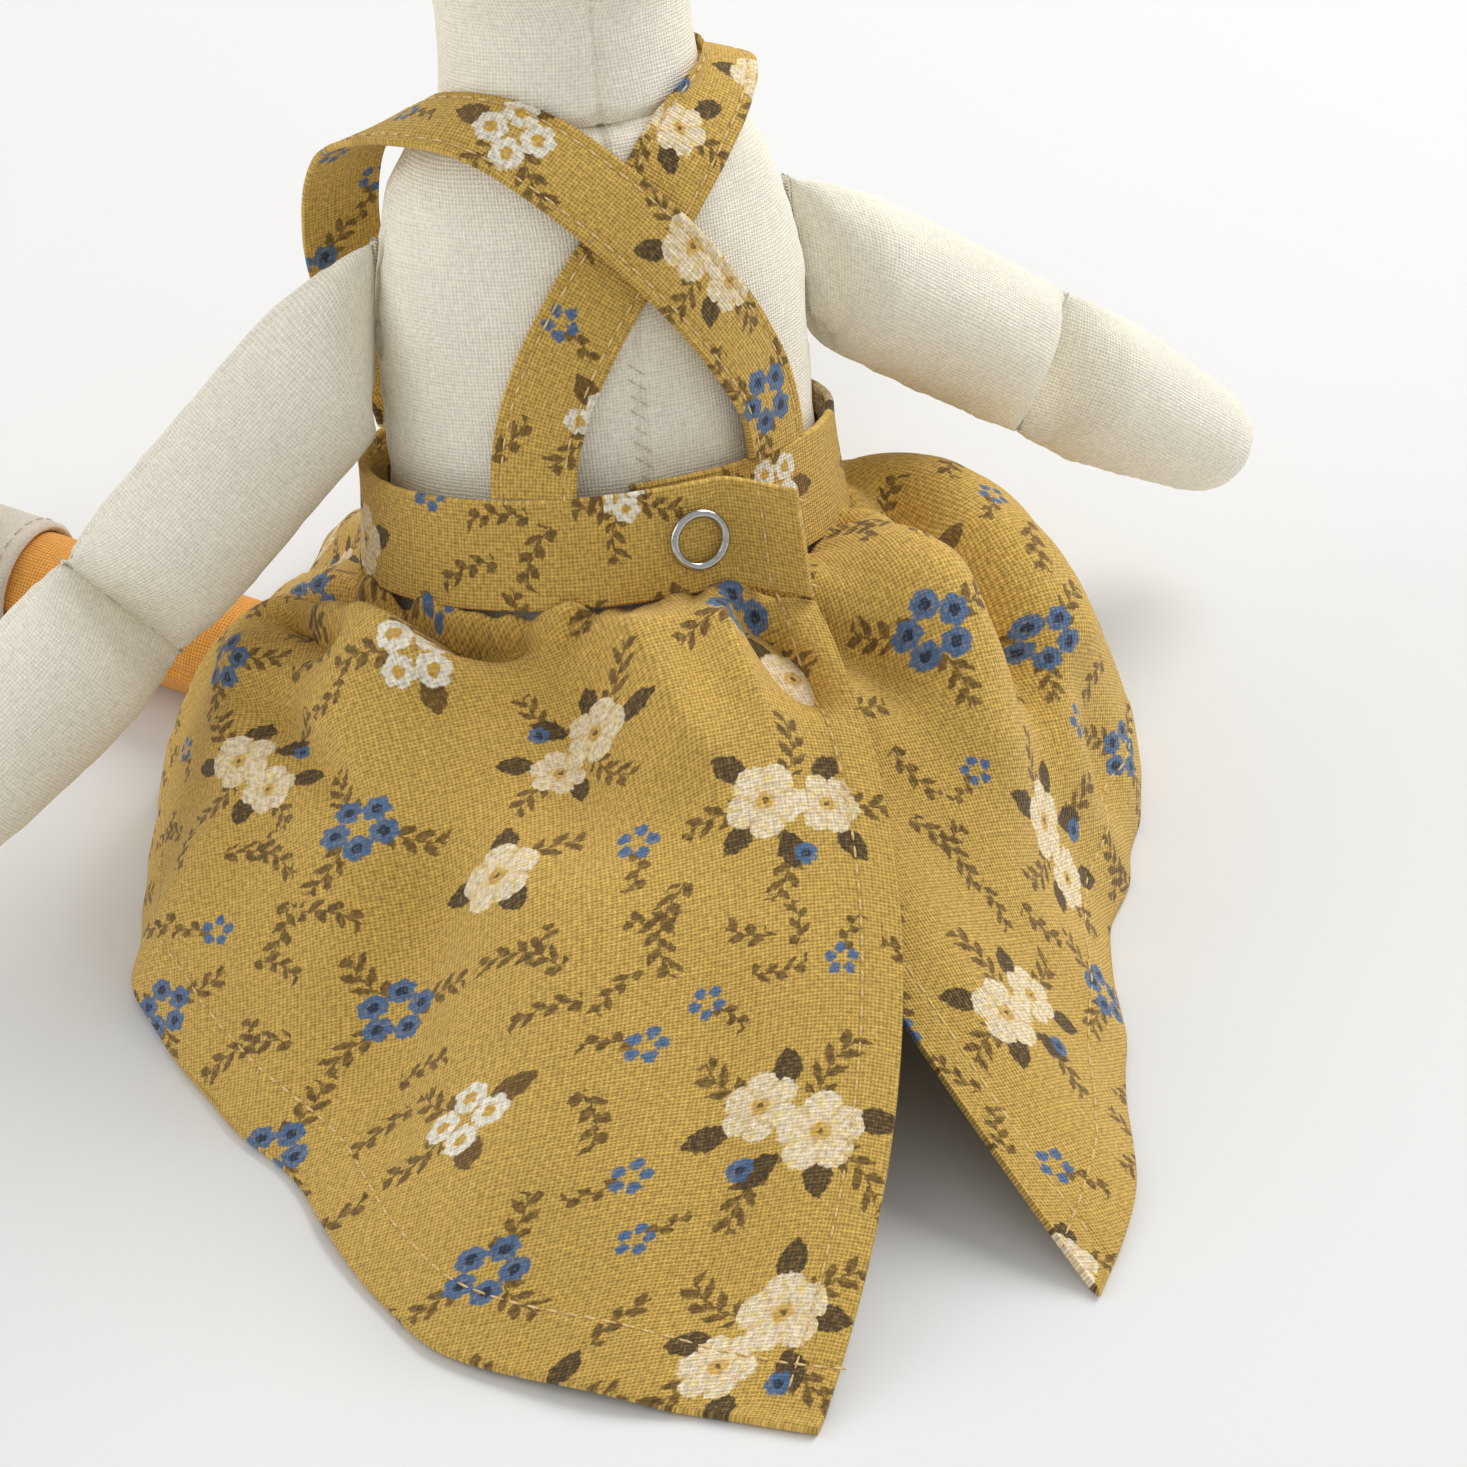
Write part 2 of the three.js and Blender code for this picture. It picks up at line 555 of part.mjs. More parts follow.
/** Felt boot over the end of a leg, toe up, and its sole. */
function boot(name) {
  const shaft = LEG_HALF_THICK + BOOT_WALL + SEAM_GAP;
  const shaftWidth = LEG_HALF_WIDTH + BOOT_WALL + SEAM_GAP;
  const heel = LEG_AXIS - shaft;
  const foot = heel + FOOT_HALF_LENGTH;
  const outer = loft([
    legRing(BOOT_TOP, LEG_AXIS, shaft, shaftWidth, BOOT_SIDES),
    legRing(BOOT_TOP + 14, LEG_AXIS, shaft, shaftWidth, BOOT_SIDES),
    legRing(BOOT_SOLE_AT - 17, LEG_AXIS + FOOT_RISE * 0.2, shaft + FOOT_RISE * 0.2, shaftWidth, BOOT_SIDES),
    legRing(BOOT_SOLE_AT - 11, lerp(LEG_AXIS, foot, 0.72), shaft + (foot - LEG_AXIS) * 0.72, FOOT_HALF_WIDTH, BOOT_SIDES),
    legRing(BOOT_SOLE_AT - 5, foot, FOOT_HALF_LENGTH, FOOT_HALF_WIDTH, BOOT_SIDES),
    legRing(BOOT_SOLE_AT, foot, FOOT_HALF_LENGTH - 0.6, FOOT_HALF_WIDTH - 0.6, BOOT_SIDES),
  ]);
  const hollow = limbSolid({
    ...LEG, length: LEG_LENGTH + SEAM_GAP, rootHalf: LEG_HALF_WIDTH + SEAM_GAP,
    halfWidth: LEG_HALF_WIDTH + SEAM_GAP, halfThick: LEG_HALF_THICK + SEAM_GAP,
  }, 0, LIMB_SIDES).translate([0, -SEAM_GAP, 0]);
  const from = BOOT_SOLE_AT + SEAM_GAP;
  const sole = loft([
    legRing(from, foot, FOOT_HALF_LENGTH - 0.4, FOOT_HALF_WIDTH - 0.4, BOOT_SIDES),
    legRing(from + SOLE * 0.6, foot, FOOT_HALF_LENGTH - 0.2, FOOT_HALF_WIDTH - 0.2, BOOT_SIDES),
    legRing(from + SOLE, foot, FOOT_HALF_LENGTH - 1.4, FOOT_HALF_WIDTH - 1.4, BOOT_SIDES),
  ]);
  return [
    node(`${name}_boot`, outer.subtract(hollow), material.felt),
    node(`${name}_boot_sole`, sole, material.soleFelt),
  ];
}

/** Leg group with its boot, hinged on the bottom seam. */
function leg(side) {
  const name = side > 0 ? "left" : "right";
  const group = new THREE.Group();
  group.name = `${name}_leg`;
  group.position.copy(legRoot(side));
  const direction = legDirection(side);
  group.rotation.set(Math.PI / 2, 0, Math.atan2(direction.y, direction.x), "ZYX");
  group.add(...limbNodes(`${name}_leg`, LEG, ["under", "top"], material.legLinen, LEG_AXIS));
  group.add(...boot(name));
  return group;
}

/** Share of the way from the snap to the free end of the tab. */
const pastSnap = (angle) => Math.max((FLARE_FROM - angle) / (FLARE_FROM - TAB_END), 0);

/** Stand-off of the band's inner face from the torso. */
function bandOffset(angle) {
  const turned = (angle - TAB_ROOT) / (UNDERLAP_END - TAB_ROOT);
  return lerp(BAND_OUTER, BAND_INNER, turned) + TAB_FLARE * pastSnap(angle) ** 2.2;
}

/** Middle height of the band, which sags at the free end of the tab. */
function bandLevel(angle) {
  return -TAB_DROOP * Math.min(pastSnap(angle), 1) ** 1.5;
}

/** Strip of band cloth between two angles, grown by a clearance, in the leaning frame. */
function bandStrip(from, to, steps, grown = 0) {
  const top = BAND_HEIGHT / 2 + grown;
  const rings = Array.from({ length: steps + 1 }, (_, i) => {
    const angle = lerp(from, to, i / steps);
    const near = bandOffset(angle) - grown;
    const far = bandOffset(angle) + BAND_CLOTH + grown;
    const level = bandLevel(angle);
    return [
      offTorso(angle, level - top, near),
      offTorso(angle, level - top, far),
      offTorso(angle, level + top, far),
      offTorso(angle, level + top, near),
    ];
  });
  return loft(rings);
}

const tabGap = radToDeg(HINGE_GAP / (bodySection(0)[1] + BAND_OUTER));

/** Waistband from the tab root round to the underlap. */
function waistband() {
  return node("waistband", bandStrip(TAB_ROOT, UNDERLAP_END, 48), material.printedLinen);
}

/** Free end of the waistband, which laps over the underlap. */
function waistbandTab() {
  return node("waistband_tab", bandStrip(TAB_END, TAB_ROOT - tabGap, 12), material.printedLinen);
}

/** Turned piece on the snap's axis: profile points of radius and distance along the axis. */
function snapPiece(name, profile, standOff) {
  const lathe = new THREE.LatheGeometry(profile.map(([r, d]) => new THREE.Vector2(r, d)), 18);
  const group = new THREE.Group();
  const edges = [-1, 1].map((u) => offTorso(SNAP_ANGLE, (u * BAND_HEIGHT) / 2, standOff));
  const rise = edges[1].clone().sub(edges[0]);
  const ahead = offTorso(SNAP_ANGLE - 1, 0, bandOffset(SNAP_ANGLE));
  const along = ahead.sub(offTorso(SNAP_ANGLE + 1, 0, bandOffset(SNAP_ANGLE)));
  group.position.copy(edges[0]).lerp(edges[1], 0.5);
  const tilt = Math.atan2(-rise.y, rise.z);
  group.rotation.set(tilt, 0, Math.atan2(along.y, along.x) - Math.PI, "ZXY");
  const mesh = node(name, solidOf(lathe), material.snapSteel);
  group.add(mesh);
  return group;
}

/** The four pieces of the ring snap, from the body outward. */
function snap() {
  const tabInner = bandOffset(SNAP_ANGLE);
  const underlapInner = bandOffset(SNAP_ANGLE + 360);
  const half = RING_DIAMETER / 2;
  const ring = Array.from({ length: 9 }, (_, k) => {
    const angle = (2 * Math.PI * k) / 8 - Math.PI / 2;
    const wire = RING_WIRE / 2;
    return [half - wire + wire * Math.cos(angle), wire * (1 + Math.sin(angle))];
  });
  const tube = (outer, bore, depth) => [
    [bore / 2, 0], [outer / 2, 0], [outer / 2, depth], [bore / 2, depth], [bore / 2, 0],
  ];
  const stud = [
    [0, 0], [STUD_DIAMETER / 2, 0], [STUD_DIAMETER / 2, STUD_DEPTH * 0.7],
    [STUD_DIAMETER / 2 - 0.5, STUD_DEPTH], [0, STUD_DEPTH],
  ];
  return [
    snapPiece("snap_back_ring", tube(BACK_RING_DIAMETER, STUD_DIAMETER, BACK_RING_DEPTH),
      underlapInner - BACK_RING_DEPTH - SEAM_GAP),
    snapPiece("snap_stud", stud, underlapInner + BAND_CLOTH + SEAM_GAP),
    snapPiece("snap_socket", tube(SOCKET_DIAMETER, SOCKET_BORE, SOCKET_DEPTH),
      tabInner - SOCKET_DEPTH - SEAM_GAP),
    snapPiece("snap_ring", ring, tabInner + BAND_CLOTH + SEAM_GAP),
  ];
}

/** Strap along its rows, pressed no closer to the body than the cloth allows, cut at the band. */
function strap(name, rows) {
  const path = new THREE.CatmullRomCurve3(rows.map(([angle, height, off]) => offTorso(angle, height, off)));
  const facing = new THREE.CatmullRomCurve3(rows.map(([, , , angle, up]) => {
    const [turn, lift] = [degToRad(angle), degToRad(up)];
    return vec(Math.sin(turn) * Math.cos(lift), Math.cos(turn) * Math.cos(lift), Math.sin(lift));
  }));
  const rings = Array.from({ length: STRAP_STEPS + 1 }, (_, i) => {
    const u = i / STRAP_STEPS;
    const tangent = path.getTangent(u);
    const normal = facing.getPoint(u);
    normal.addScaledVector(tangent, -normal.dot(tangent)).normalize();
    const across = tangent.clone().cross(normal);
    const middle = path.getPoint(u);
    const edges = [-1, 0, 1].map((k) => {
      const point = middle.clone().addScaledVector(across, (k * STRAP_WIDTH) / 2);
      return clearOfBody(point, normal, SEAM_GAP + STRAP_CLOTH / 2);
    });
    const half = STRAP_CLOTH / 2;
    const [a, b, c] = edges;
    return [
      a.clone().addScaledVector(normal, -half), b.clone().addScaledVector(normal, -half),
      c.clone().addScaledVector(normal, -half), c.clone().addScaledVector(normal, half),
      b.clone().addScaledVector(normal, half), a.clone().addScaledVector(normal, half),
    ];
  });
  const top = BAND_HEIGHT / 2 + SEAM_GAP;
  const belowBand = block(vec(-FAR, -FAR, -FAR), vec(FAR, FAR, top));
  return node(name, loft(rings).subtract(belowBand), material.printedLinen);
}

/** Point moved until it clears the torso and head: along a direction, turning level at the neck. */
function clearOfBody(point, direction, distance) {
  const moved = point.clone();
  const [wide, deep, forward] = bodySection(point.z);
  const level = vec(point.x / wide ** 2, (point.y + forward) / deep ** 2, 0).normalize();
  const push = direction.clone().lerp(level, smoothstep(point.z, LEVEL_PUSH_FROM, LEVEL_PUSH_TO)).normalize();
  const share = () => {
    const [halfWidth, halfDepth, shift] = bodySection(moved.z);
    return Math.hypot(moved.x / (halfWidth + distance), (moved.y + shift) / (halfDepth + distance));
  };
  for (let i = 0; i < 60 && share() < 1; i += 1) moved.addScaledVector(push, 0.2);
  return moved;
}

const waistFrom = TAB_END;
const waistSweep = UNDERLAP_END - TAB_END;

/** Skirt without folds: a place round the cloth and a share of the way down, both 0 to 1. */
function skirtBase(t, s) {
  const angle = waistFrom + waistSweep * t;
  const drop = BAND_HEIGHT / 2 + SEAM_GAP + SKIRT_CLOTH / 2;
  const waist = offTorso(angle, bandLevel(angle) - drop, bandOffset(angle) + BAND_CLOTH / 2);
  waist.applyMatrix4(leanMatrix);
  const hemAngle = HEM_START + HEM_SWEEP * t;
  const [reach, level] = through(HEM, hemAngle);
  const out = vec(Math.sin(degToRad(hemAngle)), Math.cos(degToRad(hemAngle)), 0);
  const hem = out.clone().multiplyScalar(reach);
  hem.z = level;
  const [liftA, liftB, pushA, pushB] = through(BULGE, hemAngle);
  const [sway] = through(SWAY, hemAngle);
  const aside = vec(-out.y, out.x, 0).multiplyScalar(sway);
  const controlA = waist.clone().lerp(hem, 1 / 3).addScaledVector(out, pushA).add(aside);
  const controlB = waist.clone().lerp(hem, 2 / 3).addScaledVector(out, pushB).add(aside);
  controlA.z += liftA;
  controlB.z += liftB;
  return new THREE.CubicBezierCurve3(waist, controlA, controlB, hem).getPoint(s);
}

/** Unit normal of the plain skirt, facing outward. */
function skirtNormal(t, s) {
  const step = 0.004;
  const along = skirtBase(Math.min(t + step, 1), s).sub(skirtBase(Math.max(t - step, 0), s));
  const down = skirtBase(t, Math.min(s + step, 1)).sub(skirtBase(t, Math.max(s - step, 0)));
  return along.cross(down).normalize().negate();
}

const legPlaces = [1, -1].map((side) => ({ root: legRoot(side), direction: legDirection(side) }));
const legTop = LEG_ROOT_HEIGHT + LEG_AXIS + LEG_HALF_THICK;

/** Height that the cloth keeps where it lies over a leg. */
function levelOverLegs(point) {
  return legPlaces.reduce((level, leg) => {
    const from = point.clone().sub(leg.root);
    const across = besideLeg(from, leg.direction);
    const lap = from.y < LEG_HALF_WIDTH * 2 ? 1 : 0;
    const top = legTop + LEG_CLEARANCE + SKIRT_CLOTH / 2;
    return Math.max(level, lap * top * Math.exp(-((across / (LEG_HALF_WIDTH * LEG_LAP)) ** 4)));
  }, 0);
}

/** Skirt with its main folds, kept off the legs and the floor. */
function skirtPoint(t, s) {
  const point = skirtBase(t, s);
  const depth = FOLDS.reduce((sum, fold) => {
    const away = (t - fold.at - fold.drift * s) / fold.width;
    const window = smoothstep(s, fold.from - 0.01, fold.from + 0.12) *
      (1 - smoothstep(s, fold.to - 0.25, fold.to));
    return sum + fold.depth * window * Math.exp(-(away ** 2));
  }, 0);
  point.addScaledVector(skirtNormal(t, s), depth);
  const floor = FLOOR_GAP + SKIRT_CLOTH / 2;
  point.z = Math.max(point.z, levelOverLegs(point), floor);
  return point;
}

/** Skirt panel between two places round the cloth. */
function skirtPanel(name, from, to, steps) {
  const half = SKIRT_CLOTH / 2;
  const places = Array.from({ length: steps + 1 }, (_, i) => lerp(from, to, i / steps));
  const rows = places.map((t) => Array.from({ length: SKIRT_STEPS + 1 }, (_, j) => {
    const s = j / SKIRT_STEPS;
    const normal = skirtNormal(t, s);
    const point = skirtPoint(t, s);
    return { outer: point.clone().addScaledVector(normal, half), inner: point.addScaledVector(normal, -half) };
  }));
  const rings = rows.map((row) => [
    ...row.map((p) => p.outer), ...row.map((p) => p.inner).reverse(),
  ]);
  rings.flat().forEach((p) => { p.z = Math.max(p.z, FLOOR_GAP); });
  const band = bandStrip(TAB_END - 1, UNDERLAP_END + 1, 72, SEAM_GAP).transform(leanMatrix.elements);
  return node(name, stripSolid(rings).subtract(band), material.printedLinen);
}

/** Closed solid over rings of a folded strip, with ladder caps instead of fans. */
function stripSolid(rings) {
  const count = rings[0].length;
  const points = rings.flat();
  const triangles = [];
  for (let r = 0; r < rings.length - 1; r += 1) {
    for (let k = 0; k < count; k += 1) {
      const next = (k + 1) % count;
      const [a, b] = [r * count + k, r * count + next];
      triangles.push([a, b, b + count], [a, b + count, a + count]);
    }
  }
  const ladder = (base, flip) => {
    for (let k = 0; k < count / 2 - 1; k += 1) {
      const quad = [base + k, base + k + 1, base + count - 2 - k, base + count - 1 - k];
      const [a, b, c, d] = flip ? quad.reverse() : quad;
      triangles.push([a, b, c], [a, c, d]);
    }
  };
  ladder(0, true);
  ladder((rings.length - 1) * count, false);
  return solidFrom(points, triangles);
}

const part = new THREE.Group();
part.name = "cloth_duck";

const upright = new THREE.Group();
upright.name = "leaning_body";
upright.position.set(0, 0, WAIST_HEIGHT);
upright.rotation.x = LEAN;
upright.add(...torso(), ...head());
upright.add(bill("beak_upper", UPPER_BILL, 1, 1), bill("beak_lower", LOWER_BILL, LOWER_BILL_SHARE, -1));
upright.add(eye("left_eye", 1), eye("right_eye", -1));
upright.add(arm(1, LEFT_DROOP, LEFT_SWING), arm(-1, RIGHT_DROOP, RIGHT_SWING));
upright.add(waistband(), waistbandTab(), ...snap());
upright.add(strap("left_strap", LEFT_STRAP), strap("right_strap", RIGHT_STRAP));
part.add(upright);

part.add(leg(1), leg(-1));

const seamShare = SEAM_GAP / 2 / (waistSweep * degToRad(1) * bodySection(0)[0]);
part.add(skirtPanel("skirt_back_left", 0, LEFT_SIDE_SEAM - seamShare, 26));
part.add(skirtPanel("skirt_front", LEFT_SIDE_SEAM + seamShare, RIGHT_SIDE_SEAM - seamShare, 24));
part.add(skirtPanel("skirt_back_right", RIGHT_SIDE_SEAM + seamShare, 1, 22));

export default part;
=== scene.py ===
"""Looks of a seated cloth duck: linen skins, printed wrap-back skirt, crossed straps, ring snap and boots.

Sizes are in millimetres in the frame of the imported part: +Z up, the duck faces -Y, its left is +X.
"""

import json
import logging
import math
from dataclasses import dataclass, field
from enum import Enum
from functools import cached_property
from typing import ClassVar, Iterator, Sequence

import bpy
import numpy as np
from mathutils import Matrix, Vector


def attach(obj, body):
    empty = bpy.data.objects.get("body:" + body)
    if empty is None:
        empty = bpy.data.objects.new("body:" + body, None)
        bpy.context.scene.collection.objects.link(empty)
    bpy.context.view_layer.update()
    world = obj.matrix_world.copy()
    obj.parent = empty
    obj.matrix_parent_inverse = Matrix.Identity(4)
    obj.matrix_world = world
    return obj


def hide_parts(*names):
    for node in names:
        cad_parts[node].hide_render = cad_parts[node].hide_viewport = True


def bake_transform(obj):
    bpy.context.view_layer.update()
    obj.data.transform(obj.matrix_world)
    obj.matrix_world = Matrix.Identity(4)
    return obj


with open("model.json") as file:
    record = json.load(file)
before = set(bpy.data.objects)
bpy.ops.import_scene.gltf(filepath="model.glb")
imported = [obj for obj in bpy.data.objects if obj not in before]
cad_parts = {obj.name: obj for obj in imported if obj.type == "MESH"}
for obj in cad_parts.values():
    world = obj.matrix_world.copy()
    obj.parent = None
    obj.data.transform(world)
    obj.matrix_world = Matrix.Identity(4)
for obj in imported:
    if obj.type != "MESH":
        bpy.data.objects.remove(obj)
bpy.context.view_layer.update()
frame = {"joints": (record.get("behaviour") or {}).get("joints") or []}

LOG = logging.getLogger("cloth_duck")
MM = 0.001
CLOTH_UV = "cloth"
MOTIF = "motif"
INK_EDGE = 0.16
Array = np.ndarray
Colour = tuple[float, float, float]
Pair = tuple[float, float]
Place = tuple[float, float, float]
Piece = bpy.types.Object


def table(*rows: Sequence[float]) -> Array:
    """Dataclass field that holds rows of numbers."""
    return field(default_factory=lambda: np.array(rows, float))


class Cap(Enum):
    """How the two ends of a loft are closed."""

    FAN = "fan"
    LADDER = "ladder"


class Side(Enum):
    """Side of the duck, as the sign of X."""

    LEFT = 1
    RIGHT = -1

    @property
    def word(self) -> str:
        """Side as it stands in the names of pieces."""
        return self.name.lower()


# Curves and directions


def through(rows: Array, at: Array) -> Array:
    """Smooth monotone curve through rows whose first column is the position.

    Args:
        rows: Table of position and values, sorted by position.
        at: Positions to read, of any shape.

    Returns:
        Values at the positions, with one more axis for the columns.
    """
    knots, values = rows[:, 0], rows[:, 1:]
    x = np.clip(at, knots[0], knots[-1])
    span = np.diff(knots)
    slope = np.diff(values, axis=0) / span[:, None]
    product = slope[:-1] * slope[1:]
    total = np.where(product > 0, slope[:-1] + slope[1:], 1.0)
    inner = np.where(product > 0, 2 * product / total, 0.0)
    tangent = np.concatenate([slope[:1], inner, slope[-1:]])
    i = np.clip(np.searchsorted(knots, x) - 1, 0, len(knots) - 2)
    u = ((x - knots[i]) / span[i])[..., None]
    gap = span[i][..., None]
    start = values[i] * (2 * u**3 - 3 * u**2 + 1) + tangent[i] * gap * (u**3 - 2 * u**2 + u)
    end = values[i + 1] * (3 * u**2 - 2 * u**3) + tangent[i + 1] * gap * (u**3 - u**2)
    return start + end


def glide(points: Array, share: Array) -> Array:
    """Round curve through points spaced evenly in its parameter.

    Args:
        points: Points on the curve.
        share: Places along the curve, 0 to 1.

    Returns:
        Points of the curve.
    """
    last = len(points) - 1
    padded = np.concatenate([2 * points[:1] - points[1:2], points, 2 * points[-1:] - points[-2:-1]])
    place = np.clip(share, 0, 1) * last
    i = np.minimum(place.astype(int), last - 1)
    u = (place - i)[:, None]
    a, b, c, d = (padded[i + k] for k in range(4))
    return 0.5 * (2 * b + (c - a) * u + (2 * a - 5 * b + 4 * c - d) * u**2 + (3 * b - a - 3 * c + d) * u**3)


def smoothstep(x: Array, low: float, high: float) -> Array:
    """Eased rise from 0 at low to 1 at high."""
    u = np.clip((x - low) / (high - low), 0, 1)
    return u * u * (3 - 2 * u)


def mound(distance: Array, reach: float) -> Array:
    """Round rise, 1 at no distance and falling away over a reach."""
    return np.exp(-((distance / reach) ** 2))


def unit(v: Array) -> Array:
    """Vectors of length 1 along the last axis."""
    return v / np.maximum(np.linalg.norm(v, axis=-1, keepdims=True), 1e-9)


def run_along(points: Array) -> Array:
    """Length along a row of points up to each of them."""
    return np.concatenate([[0.0], np.cumsum(np.linalg.norm(np.diff(points, axis=0), axis=1))])


def turn(axis: str, angle: float) -> Array:
    """Matrix that turns about a main axis by an angle in radians."""
    c, s = math.cos(angle), math.sin(angle)
    first, second = {"x": (1, 2), "y": (2, 0), "z": (0, 1)}[axis]
    matrix = np.eye(3)
    matrix[first, first] = matrix[second, second] = c
    matrix[first, second], matrix[second, first] = -s, s
    return matrix


WAVES = ((1.0, 0.9), (1.7, 0.6), (2.6, 0.4), (4.1, 0.25))
WAVE_PEAK = 1.4


def wander(x: Array, scale: float, seed: int) -> Array:
    """Uneven wave along a line, about -1 to 1.

    Args:
        x: Places along the line.
        scale: Length of the longest wave.
        seed: Choice of phases.

    Returns:
        Heights of the wave.
    """
    phases = np.random.default_rng(seed).uniform(0, 2 * math.pi, len(WAVES))
    heights = (
        size * np.sin(2 * math.pi * rate * x / scale + phase)
        for (rate, size), phase in zip(WAVES, phases)
    )
    return sum(heights) / WAVE_PEAK


def fine_steps(
    low: float, high: float, step: float, marks: Sequence[float], reach: float, fine: float,
) -> Array:
    """Steps between two ends, finer near some marks.

    Args:
        low: First place.
        high: Last place.
        step: Coarse step.
        marks: Places that need a fine step.
        reach: Half width of the fine stretch about a mark.
        fine: Fine step.

    Returns:
        Sorted places, with both ends and all marks among them.
    """
    near = np.arange(-reach, reach + fine / 2, fine)
    coarse = np.linspace(low, high, max(2, round((high - low) / step) + 1))
    kept = [x for x in coarse if all(abs(x - m) > reach + fine / 2 for m in marks)]
    places = np.concatenate([kept, *[m + near for m in marks], [low, high]])
    return np.unique(np.round(places[(places >= low) & (places <= high)], 5))


def grid_normals(points: Array, closed: bool) -> Array:
    """Unit normals of a grid of points.

    Args:
        points: Grid, rows by columns by 3.
        closed: True if the columns close into a ring.

    Returns:
        Normals, which point to the right-hand side of columns turned to rows.
    """
    along = np.gradient(points, axis=0)
    across = np.gradient(points, axis=1)
    if closed:
        across = np.roll(points, -1, axis=1) - np.roll(points, 1, axis=1)
    return unit(np.cross(across, along))


# Shader wiring


def linear(red: float, green: float, blue: float) -> Colour:
    """Linear colour of an sRGB colour given in 0 to 255."""
    shares = (c / 255 for c in (red, green, blue))
    return tuple(((c + 0.055) / 1.055) ** 2.4 if c > 0.04 else c / 12.92 for c in shares)


def add_node(tree: bpy.types.NodeTree, kind: str, feeds: dict, **options: str) -> bpy.types.Node:
    """Adds a node to a tree.

    Args:
        tree: Tree of a material or of stitches.
        kind: Type of the node.
        feeds: Fields, sockets or plain values for its inputs, by name or number.
        options: Settings of the node.

    Returns:
        The node.
    """
    node = tree.nodes.new(kind)
    for name, value in options.items():
        setattr(node, name, value)
    for place, value in feeds.items():
        value = value.socket if isinstance(value, Field) else value
        if isinstance(value, bpy.types.NodeSocket):
            tree.links.new(value, node.inputs[place])
        else:
            node.inputs[place].default_value = value
    return node


class Field:
    """Number that varies over a surface, wired as math nodes by ordinary operators."""

    def __init__(self, tree: bpy.types.NodeTree, socket: bpy.types.NodeSocket) -> None:
        """Wraps an output socket of a tree."""
        self.tree = tree
        self.socket = socket

    def wire(self, operation: str, *values: "Field | float") -> "Field":
        """Adds a math node.

        Args:
            operation: Name of the operation.
            values: Its inputs, fields or plain numbers.

        Returns:
            Result of the node.
        """
        node = add_node(self.tree, "ShaderNodeMath", dict(enumerate(values)), operation=operation)
        return Field(self.tree, node.outputs[0])

    def __add__(self, other: "Field | float") -> "Field":
        """Sum."""
        return self.wire("ADD", self, other)

    def __sub__(self, other: "Field | float") -> "Field":
        """Difference."""
        return self.wire("SUBTRACT", self, other)

    def __rsub__(self, other: float) -> "Field":
        """Difference from a plain number."""
        return self.wire("SUBTRACT", other, self)

    def __mul__(self, other: "Field | float") -> "Field":
        """Product."""
        return self.wire("MULTIPLY", self, other)

    __radd__ = __add__

    def sin(self) -> "Field":
        """Sine."""
        return self.wire("SINE", self)

    def cos(self) -> "Field":
        """Cosine."""
        return self.wire("COSINE", self)

    def abs(self) -> "Field":
        """Size without sign."""
        return self.wire("ABSOLUTE", self)

    def fract(self) -> "Field":
        """Part after the point."""
        return self.wire("FRACT", self)

    def root(self) -> "Field":
        """Square root."""
        return self.wire("SQRT", self)

    def atan2(self, other: "Field") -> "Field":
        """Angle of the point whose height is this field."""
        return self.wire("ARCTAN2", self, other)

    def larger(self, other: "Field") -> "Field":
        """Larger of two fields."""
        return self.wire("MAXIMUM", self, other)

    def equals(self, value: float) -> "Field":
        """1 where the field is the whole number given, else 0."""
        return self.wire("COMPARE", self, value, 0.5)

    def smooth(self, low: float, high: float) -> "Field":
        """Eased rise from 0 at low to 1 at high."""
        feeds = {"Value": self, "From Min": low, "From Max": high}
        node = add_node(self.tree, "ShaderNodeMapRange", feeds, interpolation_type="SMOOTHSTEP")
        return Field(self.tree, node.outputs["Result"])

    def mask(self, edge: float = INK_EDGE) -> "Field":
        """1 where the field is above 0 and 0 where it is below, with a soft edge."""
        return self.smooth(-edge, edge)


